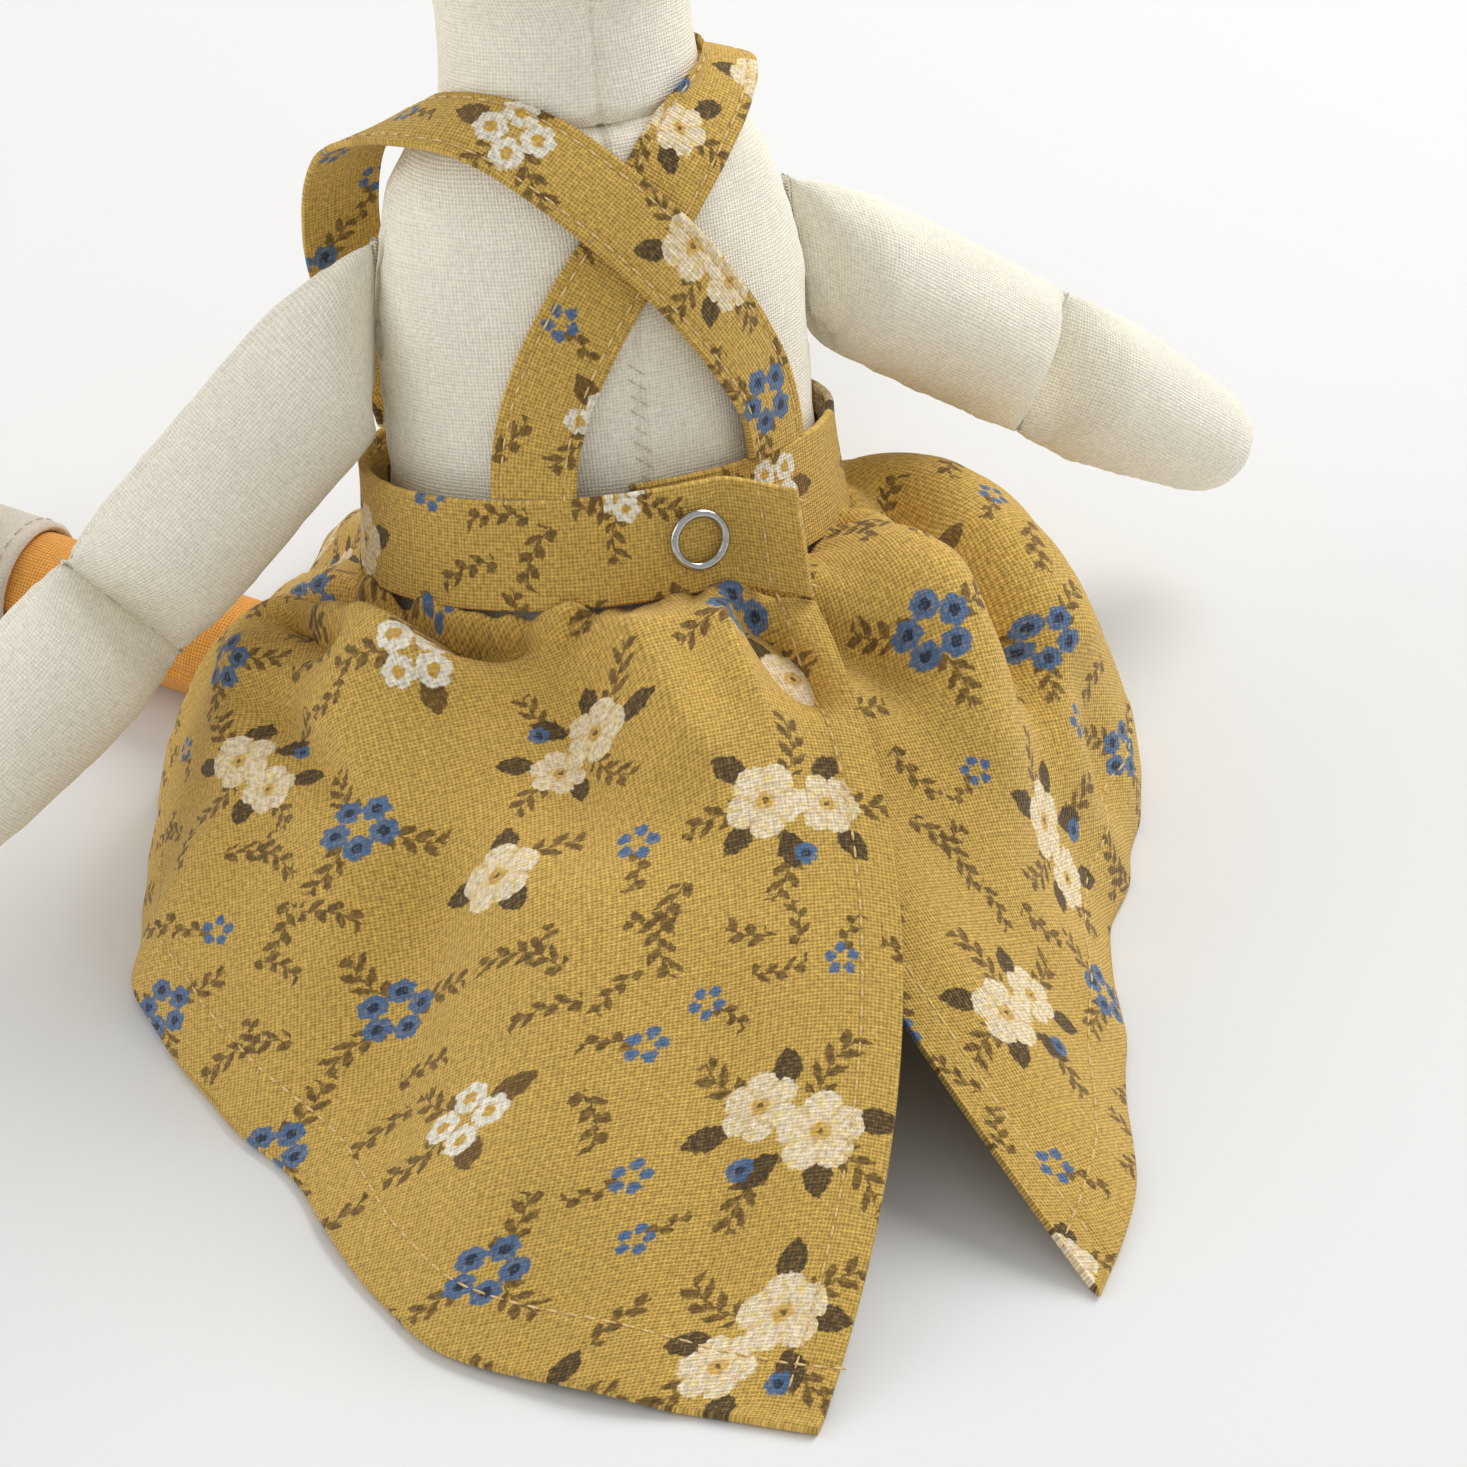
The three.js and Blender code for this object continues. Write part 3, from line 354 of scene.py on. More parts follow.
class Pen:
    """Node tree of one material with a Principled surface."""

    def __init__(self, name: str) -> None:
        """Starts a material of that name."""
        self.material = bpy.data.materials.new(name)
        self.material.use_nodes = True
        self.tree = self.material.node_tree
        self.surface = self.tree.nodes["Principled BSDF"]

    def cloth(self) -> tuple[Field, Field]:
        """Place on the flat cloth in millimetres, along and across."""
        node = add_node(self.tree, "ShaderNodeUVMap", {}, uv_map=CLOTH_UV)
        return self.split(node.outputs["UV"])[:2]

    def motif(self) -> tuple[Field, Field, Field]:
        """Place in the nearest motif in millimetres, and the motif's kind."""
        node = add_node(self.tree, "ShaderNodeAttribute", {}, attribute_name=MOTIF)
        return self.split(node.outputs["Vector"])

    def place(self) -> tuple[Field, Field, Field]:
        """Object coordinates in metres."""
        return self.split(add_node(self.tree, "ShaderNodeTexCoord", {}).outputs["Object"])

    def millimetres(self) -> tuple[Field, Field, Field]:
        """Object coordinates in millimetres."""
        return tuple(axis * (1 / MM) for axis in self.place())

    def split(self, socket: bpy.types.NodeSocket) -> tuple[Field, Field, Field]:
        """Three fields of a vector socket."""
        node = add_node(self.tree, "ShaderNodeSeparateXYZ", {0: socket})
        return tuple(Field(self.tree, out) for out in node.outputs)

    def noise(self, fields: Sequence[Field], detail: float = 0.0) -> Field:
        """Soft noise over two or three fields, about 0 to 1, with cells of unit size."""
        join = add_node(self.tree, "ShaderNodeCombineXYZ", dict(enumerate(fields)))
        feeds = {"Vector": join.outputs[0], "Scale": 1.0, "Detail": detail}
        node = add_node(self.tree, "ShaderNodeTexNoise", feeds, noise_dimensions=f"{len(fields)}D")
        return Field(self.tree, node.outputs[0])

    def over(self, base: "Field | Colour", ink: "Field | Colour", cover: Field) -> Field:
        """Lays an ink over a base where the cover is 1.

        Args:
            base: Colour beneath, a field or a linear colour.
            ink: Colour on top, a field or a linear colour.
            cover: Share of the ink.

        Returns:
            Colour as a field.
        """
        below, above = (value if isinstance(value, Field) else (*value, 1.0) for value in (base, ink))
        feeds = {0: cover, 6: below, 7: above}
        node = add_node(self.tree, "ShaderNodeMix", feeds, data_type="RGBA")
        return Field(self.tree, node.outputs[2])

    def scaled(self, colour: Field, factor: Field) -> Field:
        """Colour made lighter or darker by a factor."""
        feeds = {0: colour, "Scale": factor}
        node = add_node(self.tree, "ShaderNodeVectorMath", feeds, operation="SCALE")
        return Field(self.tree, node.outputs[0])

    def paint(self, colour: Field) -> None:
        """Sends a colour to the surface."""
        self.tree.links.new(colour.socket, self.surface.inputs["Base Color"])

    def set(self, **sockets: float) -> None:
        """Sets plain numbers on the surface, with the sockets' names in lower case."""
        known = {socket.name.lower().replace(" ", "_"): socket for socket in self.surface.inputs}
        for name, value in sockets.items():
            known[name].default_value = value

    def bump(self, height: Field, depth: float, strength: float) -> None:
        """Gives the surface a relief.

        Args:
            height: Relief, about 0 to 1.
            depth: Depth of the relief in millimetres.
            strength: Share of the relief that shows.
        """
        feeds = {"Distance": depth * MM, "Strength": strength, "Height": height}
        node = add_node(self.tree, "ShaderNodeBump", feeds)
        self.tree.links.new(node.outputs[0], self.surface.inputs["Normal"])


# Finishes


@dataclass(frozen=True)
class LinenFinish:
    """Plain-weave linen with uneven threads, and painted shade in the gaps between them."""

    name: str
    slot: str
    thread: Colour
    # Darker colour painted in the gaps between threads, standing in for their shade.
    hole: Colour
    pitch: float = 0.56
    crossing: float = 0.38
    waver: float = 0.5
    waver_across: float = 0.3
    waver_along: float = 0.1
    grain: float = 0.4
    grain_rate: float = 0.8
    slub: float = 0.1
    slub_rate: float = 0.9
    slub_run: float = 0.3
    blotch: float = 0.1
    blotch_rate: float = 0.06
    # Relief over which the painted shade of the gaps gives way to the thread colour.
    hole_edge: Pair = (0.2, 0.75)
    relief: float = 0.2
    sheen: float = 0.12

    def weave(self, pen: Pen, u: Field, v: Field) -> tuple[Field, Field]:
        """Relief of the threads and the light and dark of single threads.

        Args:
            pen: Material under way.
            u: Place along the cloth.
            v: Place across the cloth.

        Returns:
            Relief, 0 in the holes to 1 on the threads, and a shade about 1.
        """
        u = u + (pen.noise((u * self.waver_across, v * self.waver_along)) - 0.5) * self.waver
        v = v + (pen.noise((u * self.waver_along, v * self.waver_across)) - 0.5) * self.waver
        across, along = ((place * (math.pi / self.pitch)).sin() for place in (u, v))
        lift, level = across * along * self.crossing, 1 - self.crossing
        relief = (across.abs() * (level + lift)).larger(along.abs() * (level - lift))
        grain, slub = self.grain_rate / self.pitch, self.slub_rate / self.pitch
        speck = pen.noise((u * grain, v * grain))
        warp = pen.noise((u * slub, v * self.slub_run))
        weft = pen.noise((u * self.slub_run, v * slub))
        shade = (speck - 0.5) * self.grain + (warp + weft - 1.0) * self.slub + 1.0
        return relief, shade

    def colour(self, pen: Pen, u: Field, v: Field, relief: Field) -> Field:
        """Colour of the threads, with painted shade in the gaps between them, before the random light and
        dark of single threads.
        """
        # Painted shade: the gaps between the threads take the darker second colour.
        return pen.over(self.hole, self.thread, relief.smooth(*self.hole_edge))

    def material(self) -> bpy.types.Material:
        """Builds the material."""
        pen = Pen(self.name)
        u, v = pen.cloth()
        relief, shade = self.weave(pen, u, v)
        cloud = pen.noise((u * self.blotch_rate, v * self.blotch_rate), detail=2.0)
        blotch = cloud * self.blotch + (1 - self.blotch / 2)
        pen.paint(pen.scaled(self.colour(pen, u, v, relief), shade * blotch))
        pen.bump(relief * shade, self.relief, strength=0.8)
        pen.set(roughness=0.92, specular_ior_level=0.25, sheen_weight=self.sheen, sheen_roughness=0.6)
        return pen.material


CREAM = linear(250, 233, 200)
WHITE = linear(250, 243, 224)
PEACH = linear(232, 196, 140)
BUTTER = linear(240, 214, 132)
HEART = linear(214, 166, 48)
LEAF = linear(112, 84, 40)
DARK_LEAF = linear(78, 62, 40)
BLUE = linear(80, 114, 156)
NIGHT = linear(46, 56, 74)
Ink = tuple[Field, Colour]


@dataclass(frozen=True)
class Leaf:
    """Almond leaf that starts at a point and grows along an angle in degrees."""

    x: float
    y: float
    angle: float
    length: float = 6.4
    width: float = 1.9
    ink: Colour = DARK_LEAF

    def local(self, x: Field, y: Field) -> tuple[Field, Field]:
        """Place along and across the leaf."""
        c, s = math.cos(math.radians(self.angle)), math.sin(math.radians(self.angle))
        x, y = x - self.x, y - self.y
        return x * c + y * s, y * c - x * s

    def draw(self, x: Field, y: Field, dab: Field) -> Iterator[Ink]:
        """Leaf with a paler midrib and a brushed face."""
        along, across = self.local(x, y)
        middle = along * (2 / self.length) - 1.0
        blade = (1.0 - middle * middle) * self.width - across.abs()
        body = blade.mask()
        yield body, self.ink
        yield body * (0.12 - across.abs()).mask(0.1).larger(dab.smooth(0.5, 0.8)) * 0.6, LEAF


@dataclass(frozen=True)
class Twig(Leaf):
    """Bowed stem with small leaves to either side in turn."""

    length: float = 11.0
    ink: Colour = LEAF
    step: float = 2.9
    leaf: float = 3.4
    leaf_width: float = 0.66
    lean: float = 40.0
    bow: float = 0.05

    def draw(self, x: Field, y: Field, dab: Field) -> Iterator[Ink]:
        """Stem and leaves as one ink."""
        along, across = self.local(x, y)
        across = across - along * (self.length - along) * self.bow
        inside = along.mask(0.1) * (self.length - along).mask(0.1)
        stem = (0.17 - across.abs()).mask(0.12)
        c, s = math.cos(math.radians(self.lean)), math.sin(math.radians(self.lean))
        side = across.mask(0.02) * 0.5
        cell = (along * (1 / self.step) + side).fract() * self.step
        out, aside = cell * c + across.abs() * s, across.abs() * c - cell * s
        middle = out * (2 / self.leaf) - 1.0
        blades = ((1.0 - middle * middle) * self.leaf_width - aside.abs()).mask()
        yield stem.larger(blades) * inside * (dab * 0.5 + 0.7), self.ink


@dataclass(frozen=True)
class Blossom:
    """Round blossom with a few broad petals."""

    x: float
    y: float
    radius: float = 5.2
    petals: int = 5
    phase: float = 0.0

    def draw(self, x: Field, y: Field, dab: Field) -> Iterator[Ink]:
        """Petals, the creases between them, brushed dabs and the heart."""
        x, y = x - self.x, y - self.y
        r = (x * x + y * y).root()
        lobe = (y.atan2(x) * (self.petals / 2) + self.phase).cos().abs()
        petal = (lobe.root() * (0.27 * self.radius) + 0.73 * self.radius - r).mask()
        yield petal, CREAM
        crease = (0.34 - lobe).smooth(0.0, 0.2) * r.smooth(0.25 * self.radius, 0.6 * self.radius)
        blush = (0.62 * self.radius - r).smooth(0.0, 0.5 * self.radius)
        yield petal * crease.larger(blush * 0.6) * 0.8, PEACH
        yield petal * dab.smooth(0.52, 0.66) * 0.75, BUTTER
        yield (0.24 * self.radius - r).mask() * (dab * 0.6 + 0.5), HEART
        yield (0.08 * self.radius - r).mask(), LEAF


@dataclass(frozen=True)
class Ring:
    """Small lobed flowers set in a ring."""

    ink: Colour
    heart: Colour
    count: int = 5
    reach: float = 3.1
    radius: float = 1.7
    heart_share: float = 0.4
    x: float = 0.0
    y: float = 0.0
    phase: float = 0.0

    def draw(self, x: Field, y: Field, dab: Field) -> Iterator[Ink]:
        """Flowers and their hearts."""
        x, y = x - self.x, y - self.y
        r = (x * x + y * y).root()
        step = 2 * math.pi / self.count
        fold = ((y.atan2(x) * (1 / step) + self.phase).fract() - 0.5) * step
        px, py = r * fold.cos() - self.reach, r * fold.sin()
        q = (px * px + py * py).root()
        lobe = (py.atan2(px) * 3.0).cos().abs() * (0.16 * self.radius) + 0.9 * self.radius
        yield (lobe - q).mask(), self.ink
        yield (self.heart_share * self.radius - q).mask(), self.heart


@dataclass(frozen=True)
class Motif:
    """Group of shapes that keeps within a radius, and how many tries it gets in the layout."""

    radius: float
    tries: int
    shapes: tuple


MOTIFS = (
    Motif(14.5, 120, (
        Twig(-4, 3, 146, length=12), Twig(5, -4, -34, length=11), Twig(2, 4, 78, length=11, bow=-0.03),
        Twig(-2, -4, 246, length=10), Leaf(-4, 4, 108), Leaf(-7, -1, 196, length=7), Leaf(2, -5, 286),
        Leaf(8, 0, 24), Leaf(1, 4, 48), Blossom(-3.6, 0.8, 5.8, phase=0.4),
        Blossom(5.2, -2.8, 4.9, petals=6, phase=1.1),
        Ring(BLUE, NIGHT, count=1, reach=0.0, radius=1.7, x=5.4, y=6.0),
    )),
    Motif(10.4, 380, (
        Twig(0, 3, 96, length=9.5), Twig(-3, -2, 216, length=9), Twig(3, -2, -38, length=9, bow=-0.03),
        Ring(BLUE, NIGHT, count=5, reach=3.6, radius=2.05),
    )),
    Motif(10.2, 380, (
        Leaf(2, 2, 40, ink=LEAF), Leaf(-2, 2, 150, ink=LEAF), Twig(-1, -3, 250, length=9),
        Twig(3, -2, -40, length=9),
        Ring(WHITE, HEART, count=4, reach=3.3, radius=2.3, phase=0.2),
    )),
    Motif(8.6, 700, (
        Leaf(-1, 2, 118), Leaf(-2, -1, 214), Leaf(2, -1, -30), Twig(2, 2, 46, length=9),
        Blossom(0, 0, 5.5, petals=5, phase=0.9),
    )),
    Motif(5.2, 1000, (
        Twig(0, 0, 80, length=6.5, leaf=2.0), Ring(BLUE, BLUE, count=5, reach=1.9, radius=0.9, y=-1.6),
    )),
    Motif(6.0, 2200, (
        Twig(-7, -2, 14, length=15), Twig(-2, 0, 104, length=7, leaf=2.6, bow=-0.05),
    )),
    Motif(3.4, 3200, (
        Twig(-4.6, 0, 0, length=9.6, leaf=2.6),
    )),
)


@dataclass(frozen=True)
class PrintFinish(LinenFinish):
    """Linen with a scattered print of small sprays."""

    jitter: float = 0.6
    jitter_rate: float = 1.3
    dab_rate: float = 0.9
    wear_rate: float = 1.4
    wear_edge: Pair = (0.35, 0.8)
    ink_range: Pair = (0.56, 0.42)

    def colour(self, pen: Pen, u: Field, v: Field, relief: Field) -> Field:
        """Ground with the inks of every motif laid over it, broken up by the threads."""
        x, y, kind = pen.motif()
        across, along = u * self.jitter_rate, v * self.jitter_rate
        x = x + (pen.noise((across, along)) - 0.5) * self.jitter
        y = y + (pen.noise((along, across)) - 0.5) * self.jitter
        dab = pen.noise((v * self.dab_rate, u * self.dab_rate), detail=1.0)
        worn = (pen.noise((u * self.wear_rate, v * self.wear_rate)) + relief) * 0.7
        least, more = self.ink_range
        grain = worn.smooth(*self.wear_edge) * more + least
        colour = super().colour(pen, u, v, relief)
        for number, motif in enumerate(MOTIFS):
            cover = kind.equals(float(number)) * grain
            for shape in motif.shapes:
                for mask, ink in shape.draw(x, y, dab):
                    colour = pen.over(colour, ink, mask * cover)
        return colour


@dataclass(frozen=True)
class FeltFinish:
    """Pressed wool felt with a fibrous face."""

    name: str
    slot: str
    colour: Colour
    fleck: Colour
    fibre_rate: float = 2.4
    cloud_rate: float = 0.12
    relief: float = 0.3

    def material(self) -> bpy.types.Material:
        """Builds the material."""
        pen = Pen(self.name)
        spot = pen.millimetres()
        fibre = pen.noise([axis * self.fibre_rate for axis in spot], detail=3.0)
        cloud = pen.noise([axis * self.cloud_rate for axis in spot], detail=2.0)
        flecks = (fibre * 0.8 + cloud * 0.4).smooth(0.35, 0.85)
        pen.paint(pen.over(self.colour, self.fleck, flecks))
        pen.bump(fibre, self.relief, strength=0.5)
        pen.set(roughness=0.95, specular_ior_level=0.15, sheen_weight=0.3, sheen_roughness=0.5)
        return pen.material


@dataclass(frozen=True)
class ThreadFinish:
    """Twisted sewing thread."""

    name: str
    slot: str
    colour: Colour
    shadow: Colour
    twist_rate: float = 9.0

    def material(self) -> bpy.types.Material:
        """Builds the material."""
        pen = Pen(self.name)
        x, y, z = pen.millimetres()
        ply = ((x + y + z) * self.twist_rate).sin() * 0.5 + 0.5
        pen.paint(pen.over(self.shadow, self.colour, ply))
        pen.set(roughness=0.7, specular_ior_level=0.3, sheen_weight=0.2)
        return pen.material


@dataclass(frozen=True)
class SteelFinish:
    """Plated steel with faint handling marks."""

    name: str
    slot: str
    colour: Colour
    mark: Colour

    def material(self) -> bpy.types.Material:
        """Builds the material."""
        pen = Pen(self.name)
        x, y, z = pen.millimetres()
        marks = pen.noise((x * 0.9, y * 0.9, z * 3.0), detail=3.0)
        pen.paint(pen.over(self.colour, self.mark, marks.smooth(0.45, 0.8) * 0.6))
        rough = marks * 0.12 + 0.06
        pen.tree.links.new(rough.socket, pen.surface.inputs["Roughness"])
        pen.set(metallic=1.0)
        return pen.material


@dataclass(frozen=True)
class GlossFinish:
    """Glossy moulded bead."""

    name: str
    slot: str
    colour: Colour
    haze: Colour
    haze_rate: float = 0.8

    def material(self) -> bpy.types.Material:
        """Builds the material."""
        pen = Pen(self.name)
        haze = pen.noise([axis * self.haze_rate for axis in pen.millimetres()], detail=2.0)
        pen.paint(pen.over(self.colour, self.haze, haze.smooth(0.3, 0.9) * 0.5))
        pen.set(roughness=0.16, coat_weight=0.4, coat_roughness=0.08)
        return pen.material


@dataclass(frozen=True)
class FloorFinish:
    """Matt white sweep."""

    name: str
    colour: Colour
    cloud: Colour
    cloud_rate: float = 0.7

    def material(self) -> bpy.types.Material:
        """Builds the material."""
        pen = Pen(self.name)
        x, y, _ = pen.place()
        cloud = pen.noise((x * self.cloud_rate, y * self.cloud_rate))
        pen.paint(pen.over(self.colour, self.cloud, cloud * 0.4))
        pen.set(roughness=0.8, specular_ior_level=0.1)
        return pen.material


class Look(Enum):
    """All finishes of the duck."""

    # The second colour of each linen is painted shade in the gaps between its threads.
    LINEN = LinenFinish("ivory_linen", "linen", linear(255, 252, 239), linear(241, 229, 199), grain=0.22)
    LEG = LinenFinish("orange_linen", "leg_linen", linear(240, 172, 78), linear(196, 122, 42), grain=0.25)
    PRINT = PrintFinish(
        "printed_linen", "printed_linen", linear(224, 185, 93), linear(176, 139, 63), grain=0.7, relief=0.24)
    FELT = FeltFinish("taupe_felt", "felt", linear(190, 178, 162), linear(214, 203, 188))
    SOLE = FeltFinish("cream_felt", "sole_felt", linear(232, 224, 206), linear(245, 240, 228))
    STEEL = SteelFinish("plated_steel", "snap_steel", linear(188, 187, 184), linear(120, 118, 114))
    EYE = GlossFinish("black_gloss", "eye", linear(20, 17, 15), linear(40, 34, 30))
    TAN_THREAD = ThreadFinish("tan_thread", "printed_linen", linear(240, 212, 150), linear(206, 172, 104))
    IVORY_THREAD = ThreadFinish("ivory_thread", "linen", linear(226, 218, 198), linear(196, 184, 160))
    FELT_THREAD = ThreadFinish("felt_thread", "felt", linear(206, 196, 178), linear(170, 158, 140))

    @property
    def slot(self) -> str:
        """Slot of the record that the finish stands for."""
        return self.value.slot

    @cached_property
    def material(self) -> bpy.types.Material:
        """Material of the finish, built once."""
        return self.value.material()


# Meshes


class PrintLayout:
    """Scatter of motifs over the bolt of cloth that all printed pieces are cut from."""

    bolt: Pair = (760.0, 340.0)
    size_range: Pair = (0.84, 1.1)
    seed: int = 11
    batch: int = 4000

    def __init__(self) -> None:
        """Throws the motifs, large ones first, wherever they clear those already laid."""
        draw = np.random.default_rng(self.seed)
        laid = np.zeros((sum(motif.tries for motif in MOTIFS), 7))
        count = 0
        for kind, motif in enumerate(MOTIFS):
            for _ in range(motif.tries):
                spot = draw.uniform((0, 0), self.bolt)
                angle, size = draw.uniform(0, 2 * math.pi), draw.uniform(*self.size_range)
                flip, radius = draw.choice((-1, 1)), motif.radius * size
                apart = np.linalg.norm(laid[:count, :2] - spot, axis=1) - laid[:count, 2]
                if (apart > radius).all():
                    laid[count] = (*spot, radius, kind, angle, size, flip)
                    count += 1
        self.centres = laid[:count, :2]
        self.radii, self.kinds, self.turns, self.sizes, self.flips = laid[:count, 2:].T

    def mark(self, mesh: bpy.types.Mesh, offset: Pair) -> None:
        """Writes each face's nearest motif to its corners.

        Args:
            mesh: Mesh with a cloth map.
            offset: Where the piece is cut from the bolt.
        """
        corners = np.zeros(len(mesh.loops) * 2, np.float32)
        mesh.uv_layers[CLOTH_UV].data.foreach_get("uv", corners)
        flat = corners.reshape(-1, 2) + np.array(offset)
        count = np.zeros(len(mesh.polygons), np.int32)
        mesh.polygons.foreach_get("loop_total", count)
        owner = np.repeat(np.arange(len(count)), count)
        middle = np.stack([np.bincount(owner, flat[:, k]) / count for k in range(2)], axis=1)
        batches = np.array_split(middle, len(middle) // self.batch + 1)
        pick = np.concatenate([self.nearest(spots) for spots in batches])[owner]
        away = (flat - self.centres[pick]) / self.sizes[pick][:, None]
        c, s = np.cos(self.turns[pick]), np.sin(self.turns[pick])
        across = (away[:, 1] * c - away[:, 0] * s) * self.flips[pick]
        local = np.stack([away[:, 0] * c + away[:, 1] * s, across, self.kinds[pick]], axis=1)
        attribute = mesh.attributes.new(MOTIF, "FLOAT_VECTOR", "CORNER")
        attribute.data.foreach_set("vector", local.astype(np.float32).ravel())

    def nearest(self, spots: Array) -> Array:
        """Number of the motif whose circle each spot is deepest in or nearest to."""
        return np.argmin(np.linalg.norm(spots[:, None] - self.centres[None], axis=2) - self.radii, axis=1)


def add_object(name: str, data: bpy.types.ID) -> Piece:
    """Adds an object to the scene."""
    made = bpy.data.objects.new(name, data)
    bpy.context.scene.collection.objects.link(made)
    return made


def loft(name: str, rings: Array, corner_uv: Array, cap: Cap) -> Piece:
    """Closed mesh over a row of rings.

    Args:
        name: Name of the piece.
        rings: Points in millimetres, rings by places by 3.
        corner_uv: Cloth place at both ends of each ring edge, rings by places by 2 by 2.
        cap: How the ends are closed.

    Returns:
        New object, with its faces pointing out.
    """
    count, size = rings.shape[:2]
    points = [tuple(p) for p in rings.reshape(-1, 3) * MM]
    faces, maps = [], []
    for r in range(count - 1):
        for k in range(size):
            n = (k + 1) % size
            low, high = corner_uv[r, k], corner_uv[r + 1, k]
            faces.append((r * size + k, r * size + n, (r + 1) * size + n, (r + 1) * size + k))
            maps.append((low[0], low[1], high[1], high[0]))
    sides = len(faces)
    for r, order in ((0, -1), (count - 1, 1)):
        base = r * size
        if cap is Cap.FAN:
            points.append(tuple(rings[r].mean(axis=0) * MM))
            hub = corner_uv[r, :, 0].mean(axis=0)
            for k in range(size):
                faces.append((base + k, base + (k + 1) % size, len(points) - 1)[::order])
                maps.append((corner_uv[r, k, 0], corner_uv[r, k, 1], hub)[::order])
        else:
            half = size // 2
            for k in range(half - 1):
                quad = (k, k + 1, size - 3 - k, size - 2 - k) if k < half - 2 else (k, k + 1, k + 2)
                faces.append(tuple(base + q for q in quad)[::order])
                maps.append(tuple(corner_uv[r, q, 0] for q in quad)[::order])
            last = (size - 2, size - 1, 0)
            faces.append(tuple(base + q for q in last)[::order])
            maps.append(tuple(corner_uv[r, q, 0] for q in last)[::order])
    quads = np.array(faces[:sides])
    corners = rings.reshape(-1, 3)[quads] - rings.reshape(-1, 3).mean(axis=0)
    volume = np.einsum("ij,ij->", corners[:, 0], np.cross(corners[:, 1], corners[:, 2]))
    volume += np.einsum("ij,ij->", corners[:, 0], np.cross(corners[:, 2], corners[:, 3]))
    if volume < 0:
        faces = [face[::-1] for face in faces]
        maps = [corner[::-1] for corner in maps]
    mesh = bpy.data.meshes.new(name)
    mesh.from_pydata(points, [], faces)
    layer = mesh.uv_layers.new(name=CLOTH_UV)
    layer.data.foreach_set("uv", np.array([c for corner in maps for c in corner], np.float32).ravel())
    mesh.shade_smooth()
    if cap is Cap.LADDER:
        mark_sharp(mesh, range(sides, len(faces)))
    mesh.update()
    return add_object(name, mesh)


def plain_loft(name: str, rings: Array) -> Piece:
    """Loft without cloth places, closed by fans."""
    return loft(name, rings, np.zeros((*rings.shape[:2], 2, 2)), Cap.FAN)


def mark_sharp(mesh: bpy.types.Mesh, caps: range) -> None:
    """Makes the edges between the end faces and the rest sharp."""
    uses: dict[tuple[int, int], int] = {}
    for number in caps:
        for key in mesh.polygons[number].edge_keys:
            uses[key] = uses.get(key, 0) + 1
    for edge in mesh.edges:
        if uses.get(tuple(sorted(edge.vertices))) == 1:
            edge.use_edge_sharp = True


def dress(piece: Piece, look: Look, nodes: Sequence[str]) -> Piece:
    """Gives a piece its finish and hides the solids that it stands for.

    Args:
        piece: Finished piece.
        look: Its finish.
        nodes: Solids that the piece stands for.

    Returns:
        The piece.
    """
    piece.data.materials.clear()
    piece.data.materials.append(look.material)
    look.slot
    if nodes:
        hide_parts(*nodes)
    LOG.info("%s: %d faces", piece.name, len(piece.data.polygons))
    return piece


@dataclass
class StuffedSkin:
    """Sewn skin over a filling: drawn in and puckered at its seams, a little lumpy between them."""

    seams: tuple[int, ...]
    panels: tuple[tuple[int, int, int], ...]
    groove: float = 0.75
    groove_width: float = 0.8
    pucker: float = 0.22
    pucker_reach: float = 4.0
    pucker_scale: float = 8.0
    lump: float = 0.28
    lump_scale: float = 34.0
    waver: float = 0.0
    waver_scale: float = 11.0
    seed: int = 1

    def build(self, name: str, rings: Array) -> Piece:
        """Builds the skin.

        Args:
            name: Name of the piece.
            rings: Plain form in millimetres, rings by places by 3, closed round the places.

        Returns:
            The skin, with its cloth map measured from the middle of each panel.
        """
        steps = np.linalg.norm(np.roll(rings, -1, axis=1) - rings, axis=2)
        round_it = np.concatenate([np.zeros((len(rings), 1)), np.cumsum(steps, axis=1)], axis=1)
        corner_uv = np.zeros((*rings.shape[:2], 2, 2))
        for first, last, centre in self.panels:
            length = run_along(rings[:, centre])[:, None]
            for end in range(2):
                columns = slice(first + end, last + end)
                corner_uv[:, first:last, end, 0] = round_it[:, columns] - round_it[:, centre:centre + 1]
                corner_uv[:, first:last, end, 1] = length
        along = corner_uv[:, :, 0, 1]
        depth = self.lump * wander(round_it[:, :-1], self.lump_scale, self.seed)
        depth = depth * wander(along, self.lump_scale, self.seed + 1)
        for number, seam in enumerate(self.seams):
            sway = self.waver * wander(along[:, seam:seam + 1], self.waver_scale, self.seed + 3 + number)
            away = np.abs(round_it[:, :-1] - round_it[:, seam:seam + 1] - sway)
            away = np.minimum(away, round_it[:, -1:] - away)
            depth -= self.groove * mound(away, self.groove_width)
            ripple = wander(along + 0.5 * away, self.pucker_scale, self.seed + 7 + number)
            depth += self.pucker * ripple * np.exp(-away / self.pucker_reach)
        normals = grid_normals(rings, True)
        outward = np.einsum("ijk,ijk->", normals, rings - rings.mean(axis=1, keepdims=True))
        puffed = rings + normals * math.copysign(1.0, outward) * depth[..., None]
        return loft(name, puffed, corner_uv, Cap.FAN)


